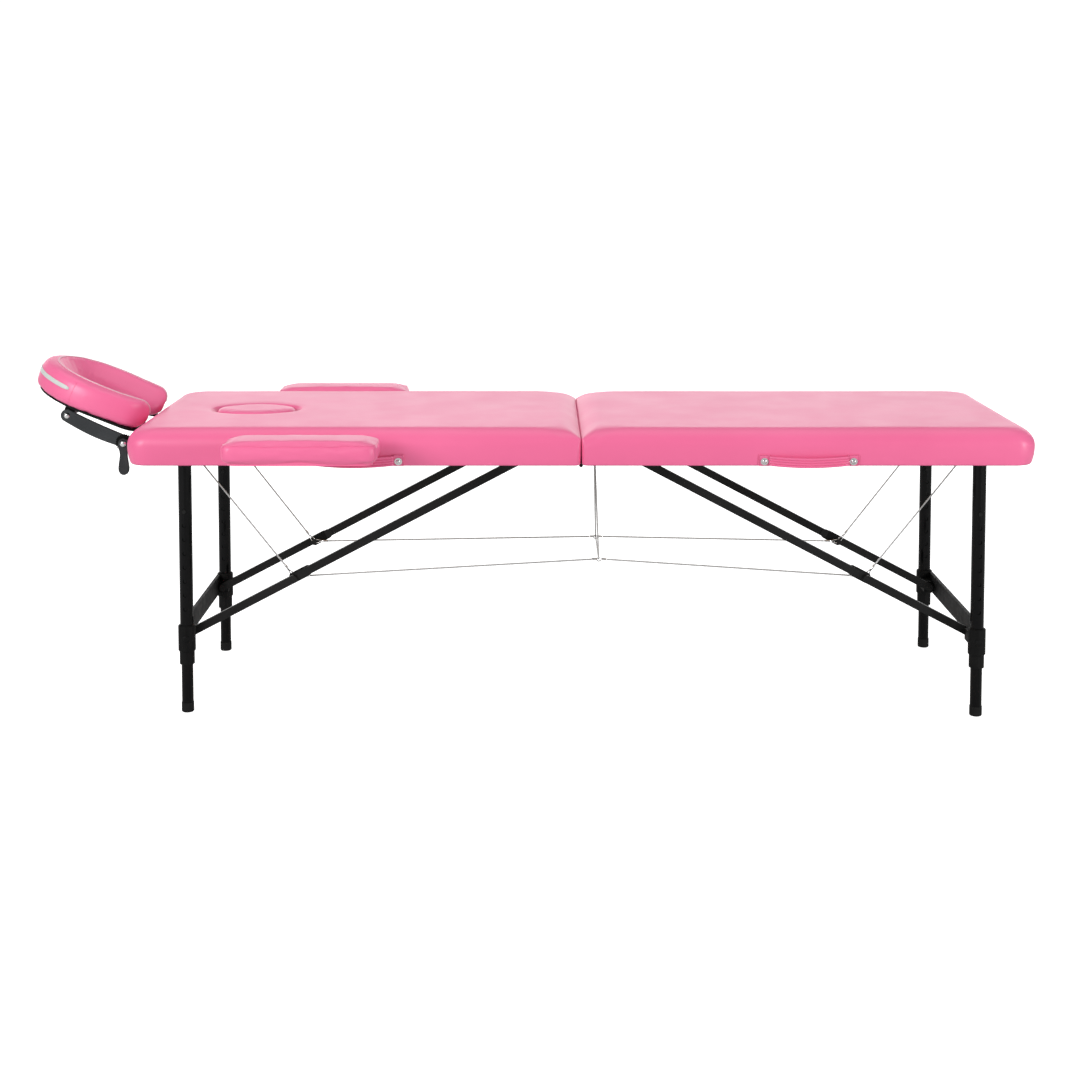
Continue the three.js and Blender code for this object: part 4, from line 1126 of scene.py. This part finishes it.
def new_box(name, low, high):
    (x0, y0, z0), (x1, y1, z1) = low, high
    vertices = [(x, y, z) for x in (x0, x1) for y in (y0, y1) for z in (z0, z1)]
    faces = [(0, 1, 3, 2), (4, 6, 7, 5), (0, 4, 5, 1), (2, 3, 7, 6), (0, 2, 6, 4), (1, 5, 7, 3)]
    return fix_normals(new_object(name, vertices, faces, smooth=False))


def cut_by(piece, cutter):
    modifier = piece.modifiers.new("cut", "BOOLEAN")
    modifier.operation = "DIFFERENCE"
    modifier.solver = "EXACT"
    modifier.object = cutter
    apply_modifiers(piece)
    bpy.data.objects.remove(cutter)


def make_handles():
    for half in HALVES:
        body = f"{half}_panel"
        low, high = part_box(f"{half}_handle")
        width = TAB_WIDTH
        bow = (high.y - low.y) - 0.006
        for end, x in (("left", low.x + width / 2), ("right", high.x - width / 2)):
            tab = handle_tab(f"{half}_handle_tab_{end}", x, low.z - 0.0002, high.z + TAB_RISE, width)
            finish_piece(tab, PINK_STRAP, body)
            middle_z = (low.z + high.z) / 2 - 0.001
            lean = (wall_y(middle_z - 0.006) - wall_y(middle_z + 0.006)) / 0.012
            face = wall_y(middle_z) - 0.0032
            screw = phillips_screw(f"{half}_handle_screw_{end}", x, face, middle_z)
            tip_by(screw, (x, face, middle_z), "X", math.atan(lean))
            finish_piece(screw, CHROME, body)
            edge = 0.0021
            top_z = high.z + TAB_RISE - edge
            corners = [(x - width / 2 + edge, low.z + edge), (x + width / 2 - edge, low.z + edge),
                       (x + width / 2 - edge, top_z), (x - width / 2 + edge, top_z)]
            path = []
            for (xa, za), (xb, zb) in zip(corners, corners[1:] + corners[:1]):
                for k in range(6):
                    z = za + (zb - za) * k / 6
                    path.append((xa + (xb - xa) * k / 6, wall_y(z) - 0.0030, z))
            path.append(path[0])
            thread = stitch_row(f"{half}_handle_stitches_{end}", path, 0.0021, 0.0008, 0.0005,
                                Vector((0, -0.0003, 0)))
            finish_piece(thread, TAB_STITCH, body)
        strap = handle_strap(f"{half}_handle_strap", low.x + width * 0.88, high.x - width * 0.88,
                             low.z, high.z, bow)
        finish_piece(strap, PINK_STRAP, body)
        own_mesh(strap)
        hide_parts(f"{half}_handle")


# ---- Cables and fittings ----

CABLE_RADIUS = 0.0017
KNOT = Vector((FOLD_X + 0.042, 0.110, 0.295))
FERRULE_RADIUS = 0.0024
STRUT_SLOPE = math.radians(27.72)


def knee_place(half, side):
    """The knuckle bolt of one side, from the end of the upper strut."""
    low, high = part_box(f"{half}_{side}_upper_strut")
    direction = HALVES[half]
    end_x = high.x if direction > 0 else low.x
    return Vector((end_x - direction * 0.0105, (low.y + high.y) / 2, low.z + 0.0105))


def cable_run(name, start, end, steps=12):
    """Straight wire between two points, in many short rings."""
    path = smooth_path([start, start.lerp(end, 0.5), end], steps)
    return paint(tube(name, path, CABLE_RADIUS), CABLE)


def ferrule(name, start, end):
    """A pressed sleeve that closes an eye of the cable."""
    along = (Vector(end) - Vector(start))
    length = along.length
    radius = FERRULE_RADIUS
    profile = [(0.0006, 0), (radius * 0.8, 0.0002), (radius, 0.001), (radius, length - 0.001),
               (radius * 0.8, length - 0.0002), (0.0006, length)]
    return turned(name, profile, start, along, 14)


def eye(name, centre, towards, across, length=0.016, width=0.009, radius=0.0011):
    """A teardrop loop of cable round a thimble, ending at the ferrule."""
    towards = Vector(towards).normalized()
    across = (Vector(across) - towards * Vector(across).dot(towards)).normalized()
    points = []
    for k in range(24):
        angle = math.tau * k / 24
        reach = -math.cos(angle) * length / 2
        pinch = 1 - 0.55 * smoothstep(0, 1, (reach / length + 0.5))
        points.append(Vector(centre) + towards * reach + across * math.sin(angle) * width / 2 * pinch)
    return tube(name, points, radius, 8, closed=True)


def make_cables():
    for half, direction in HALVES.items():
        for side_name, side in SIDES.items():
            label = f"{half}_{side_name}"
            panel, struts = f"{half}_panel", f"{half}_upper_struts"
            low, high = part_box(f"{label}_cable")
            axle = Vector(JOINTS[f"{half}_leg_fold"]["pos_m"])
            outer = low.y if side < 0 else high.y
            top = Vector((axle.x - direction * 0.002, outer - side * CABLE_RADIUS, axle.z - 0.0055))
            knee = knee_place(half, side_name)
            bolt = Vector((knee.x, knee.y - side * 0.010, knee.z))
            along = (top - bolt).normalized()
            near_bolt, near_top = bolt + along * 0.030, top - along * 0.028
            cable = cable_run(f"{label}_diagonal_cable", near_bolt, near_top)
            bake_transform(cable)
            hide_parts(f"{label}_cable")
            lower_eye = eye(f"{label}_diagonal_lower_eye", bolt + along * 0.009, along, (0, 0, 1))
            lower_ferrule = ferrule(f"{label}_diagonal_lower_ferrule", bolt + along * 0.016,
                                    near_bolt + along * 0.002)
            upper_eye = eye(f"{label}_diagonal_upper_eye", top - along * 0.004, -along, (0, 0, 1),
                            0.017, 0.014)
            upper_ferrule = ferrule(f"{label}_diagonal_upper_ferrule", top - along * 0.012,
                                    near_top - along * 0.002)
            for piece in (lower_eye, lower_ferrule):
                finish_piece(piece, CHROME, struts)
            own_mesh(lower_ferrule)
            for piece in (upper_eye, upper_ferrule):
                finish_piece(piece, CHROME, panel)
            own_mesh(upper_ferrule)
            knot = Vector((KNOT.x, side * KNOT.y, KNOT.z))
            inward = (knot - bolt).normalized()
            start = bolt + inward * 0.030
            stop = knot - inward * 0.014
            run = cable_run(f"{label}_side_cable", start, stop)
            finish_piece(run, CABLE, panel)
            tuck(run)
            bracket_eye = eye(f"{label}_side_eye", bolt + inward * 0.009, inward, (0, 0, 1))
            bracket_ferrule = ferrule(f"{label}_side_ferrule", bolt + inward * 0.016, start + inward * 0.002)
            for piece in (bracket_eye, bracket_ferrule):
                finish_piece(piece, CHROME, struts)
            end = ferrule(f"{label}_knot_ferrule", stop - inward * 0.002, knot - inward * 0.003)
            finish_piece(end, CHROME, panel)
            tuck(end)
    middle_triangle()


def tuck(piece):
    """Gives a piece of the slack cable a mesh of its own."""
    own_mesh(piece)


def middle_triangle():
    """Two slanted wires from the hinge line to the knots, and the link between those."""
    low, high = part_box("middle_cable_loop")
    anchor = Vector((low.x + CABLE_RADIUS, 0, high.z))
    corners = [Vector((KNOT.x, side * KNOT.y, KNOT.z)) for side in (-1, 1)]
    for number, corner in enumerate(corners):
        run = cable_run(f"middle_cable_{number}", anchor, corner, 10)
        finish_piece(run, CABLE, "foot_panel")
        tuck(run)
        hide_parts("middle_cable_loop")
        ring = eye(f"middle_knot_ring_{number}", corner, (0, 0, 1), (1, 0, 0), 0.010, 0.010, 0.0012)
        finish_piece(ring, CHROME, "foot_panel")
        tuck(ring)
    link = cable_run("middle_link_cable", corners[0], corners[1], 10)
    finish_piece(link, CABLE, "foot_panel")
    tuck(link)
    plate = new_box("middle_anchor_plate", (anchor.x - 0.007, -0.014, anchor.z - 0.002),
                    (anchor.x + 0.007, 0.014, DECK_TOP - 0.0055))
    finish_piece(bevel_and_smooth(plate, 0.0012), DARK_FRAME, "foot_panel")


def hex_bolt(name, at, axis, radius, height):
    """A hexagonal head on a washer."""
    direction, first, second = frame_for(axis)
    at = Vector(at)
    rings = []
    angles = [math.tau * k / 6 for k in range(6)]
    for along, grow in ((0, 1.0), (height * 0.75, 1.0), (height, 0.86)):
        rings.append([at + direction * along + (first * math.cos(a) + second * math.sin(a)) * radius * grow
                      for a in angles])
    head = shade_by_angle(loft("hex", rings), 20)
    washer = turned("washer", [(0.0002, -0.0002), (radius * 1.35, -0.0002), (radius * 1.4, 0.0004),
                               (radius * 1.3, 0.0010), (0.0002, 0.0010)], at, axis, 24)
    return joined(name, [washer, head])


def knuckle_clip(label, knee, direction):
    """Folded steel clip round the end of the upper bar: it holds the cable eyes."""
    clip = new_box(f"{label}_knuckle_clip", (knee.x - 0.017, knee.y - 0.0062, knee.z - 0.0108),
                   (knee.x + 0.017, knee.y + 0.0058, knee.z + 0.0108))
    bevel_and_smooth(clip, 0.0016)
    shift = Vector((-direction * 0.012 * math.cos(STRUT_SLOPE), 0, 0.012 * math.sin(STRUT_SLOPE)))
    clip.data.transform(Matrix.Translation(shift))
    return tip_by(clip, knee + shift, "Y", direction * STRUT_SLOPE)


def make_bolts():
    for half, direction in HALVES.items():
        for side_name, side in SIDES.items():
            label = f"{half}_{side_name}"
            low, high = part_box(f"{label}_upper_strut")
            knee = knee_place(half, side_name)
            joint_low, joint_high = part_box(f"{label}_leg_joint")
            pivot = Vector(JOINTS[f"{half}_lower_strut_fold"]["pos_m"])
            # the outer end of the knuckle bolt, on the lower bar
            bar_face = side * (abs(knee.y) + 0.0165)
            bolt = hex_bolt(f"{label}_knuckle_bolt", (knee.x, bar_face, knee.z), (0, side, 0), 0.0048, 0.003)
            finish_piece(bolt, SATIN_STRUT, f"{half}_lower_struts")
            inner = low.y if side > 0 else high.y
            nut = hex_bolt(f"{label}_knuckle_nut", (knee.x, inner, knee.z), (0, -side, 0), 0.0058, 0.003)
            finish_piece(nut, SATIN_STRUT, f"{half}_upper_struts")
            clip = knuckle_clip(label, knee, direction)
            finish_piece(clip, MATT_BLACK, f"{half}_upper_struts")
            outer = joint_high.y if side > 0 else joint_low.y
            cap = turned(f"{label}_joint_bolt", [(0.0002, -0.001), (0.0072, -0.001), (0.0075, 0.0005),
                                                 (0.0066, 0.0018), (0.0040, 0.0026), (0.0002, 0.0028)],
                         (pivot.x, outer - side * 0.0004, pivot.z), (0, side, 0))
            finish_piece(cap, MATT_BLACK, f"{half}_legs")
        bar_low, bar_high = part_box(f"{half}_crossbar")
        face = bar_high.x if direction > 0 else bar_low.x
        for side_name, side in SIDES.items():
            for row, up in (("low", 0.3), ("high", 0.7)):
                at = (face, side * (bar_high.y - 0.022), bar_low.z + (bar_high.z - bar_low.z) * up)
                name = f"{half}_crossbar_bolt_{side_name}_{row}"
                bolt = hex_bolt(name, at, (direction, 0, 0), 0.0042, 0.0028)
                finish_piece(bolt, CHROME, f"{half}_legs")


# ---- Stage: floor, light and camera ----

FLOOR_GLOW = 1.0                # as the camera sees it: washes out the shadows, as on a cut-out
FLOOR_BOUNCE = 0.10             # as the object is lit by it
WORLD_GLOW = 1.05               # the same two for the studio's white walls
WORLD_BOUNCE = 0.36
LIGHTS = {                      # place, aim, size, power
    "overhead": ((0, 0.2, 3.6), (0, 0, 0), (4.5, 2.4), 32),
    "behind": ((0, 4.2, 1.5), (0, 0, 0.6), (9.0, 2.6), 96),
    "front_left": ((-3.0, -3.4, 2.2), (-0.4, 0, 0.5), (1.8, 1.8), 118),
    "front_right": ((3.4, -2.6, 1.1), (0.9, 0, 0.4), (0.30, 2.0), 62),
}
CAMERA_SHIFT = -0.251
CAMERA_TIP = math.radians(4.0)
CAMERA_FOCUS = 1.650            # focal length in frame widths
CAMERA_PLACE = (FOLD_X - 0.084, -3.88, 1.182)


def make_stage():
    corners = [(-30, -30, 0), (30, -30, 0), (30, 30, 0), (-30, 30, 0)]
    floor = new_object("floor", corners, [(0, 1, 2, 3)], smooth=False)
    floor.location.z = -0.0005
    shader = Shader("pale_floor", Specular_IOR_Level=0.0, Emission_Color=(1, 1, 1, 1))
    shader.color(shader.noise(2, 2), (0.60, 0.60, 0.60), (0.63, 0.63, 0.63))
    glow = shader.node("ShaderNodeMapRange")
    glow.inputs["To Min"].default_value = FLOOR_BOUNCE
    glow.inputs["To Max"].default_value = FLOOR_GLOW
    shader.link(shader.node("ShaderNodeLightPath").outputs["Is Camera Ray"], glow.inputs["Value"])
    shader.link(glow.outputs["Result"], shader.surface.inputs["Emission Strength"])
    shader.roughness(shader.noise(3, 1), 0.9, 0.95)
    paint(floor, shader.material)


def area_light(name, place, target, size, power):
    light = bpy.data.lights.new(name, "AREA")
    light.shape = "RECTANGLE"
    light.size, light.size_y = size
    light.energy = power
    piece = in_scene(name, light)
    piece.location = place
    piece.rotation_euler = (Vector(target) - Vector(place)).to_track_quat("-Z", "Y").to_euler()
    piece.visible_camera = False


def make_light():
    world = bpy.data.worlds.new("studio")
    bpy.context.scene.world = world
    world.use_nodes = True
    tree = world.node_tree
    background = tree.nodes["Background"]
    background.inputs["Color"].default_value = (1, 1, 1, 1)
    path = tree.nodes.new("ShaderNodeLightPath")
    strength = tree.nodes.new("ShaderNodeMapRange")
    strength.inputs["To Min"].default_value = WORLD_BOUNCE
    strength.inputs["To Max"].default_value = WORLD_GLOW
    tree.links.new(path.outputs["Is Camera Ray"], strength.inputs["Value"])
    tree.links.new(strength.outputs["Result"], background.inputs["Strength"])
    for name, (place, target, size, power) in LIGHTS.items():
        area_light(name, place, target, size, power)


def make_camera():
    """A camera tipped down a little; the rest of the framing is lens shift."""
    camera = bpy.data.cameras.new("camera")
    camera.sensor_width = 36
    camera.lens = 36 * CAMERA_FOCUS
    camera.shift_y = CAMERA_SHIFT
    piece = in_scene("camera", camera)
    piece.location = CAMERA_PLACE
    piece.rotation_euler = (math.pi / 2 - CAMERA_TIP, 0, 0)
    bpy.context.scene.camera = piece


def main():
    bpy.context.scene.view_settings.view_transform = "Standard"
    make_camera()
    make_light()
    make_stage()
    repaint_frame()
    make_pads()
    make_plug()
    make_armrests()
    cushion = headrest_cushion()
    headrest_trim(cushion)
    headrest_hardware()
    headrest_arm()
    make_frames()
    make_handles()
    make_cables()
    make_bolts()


main()
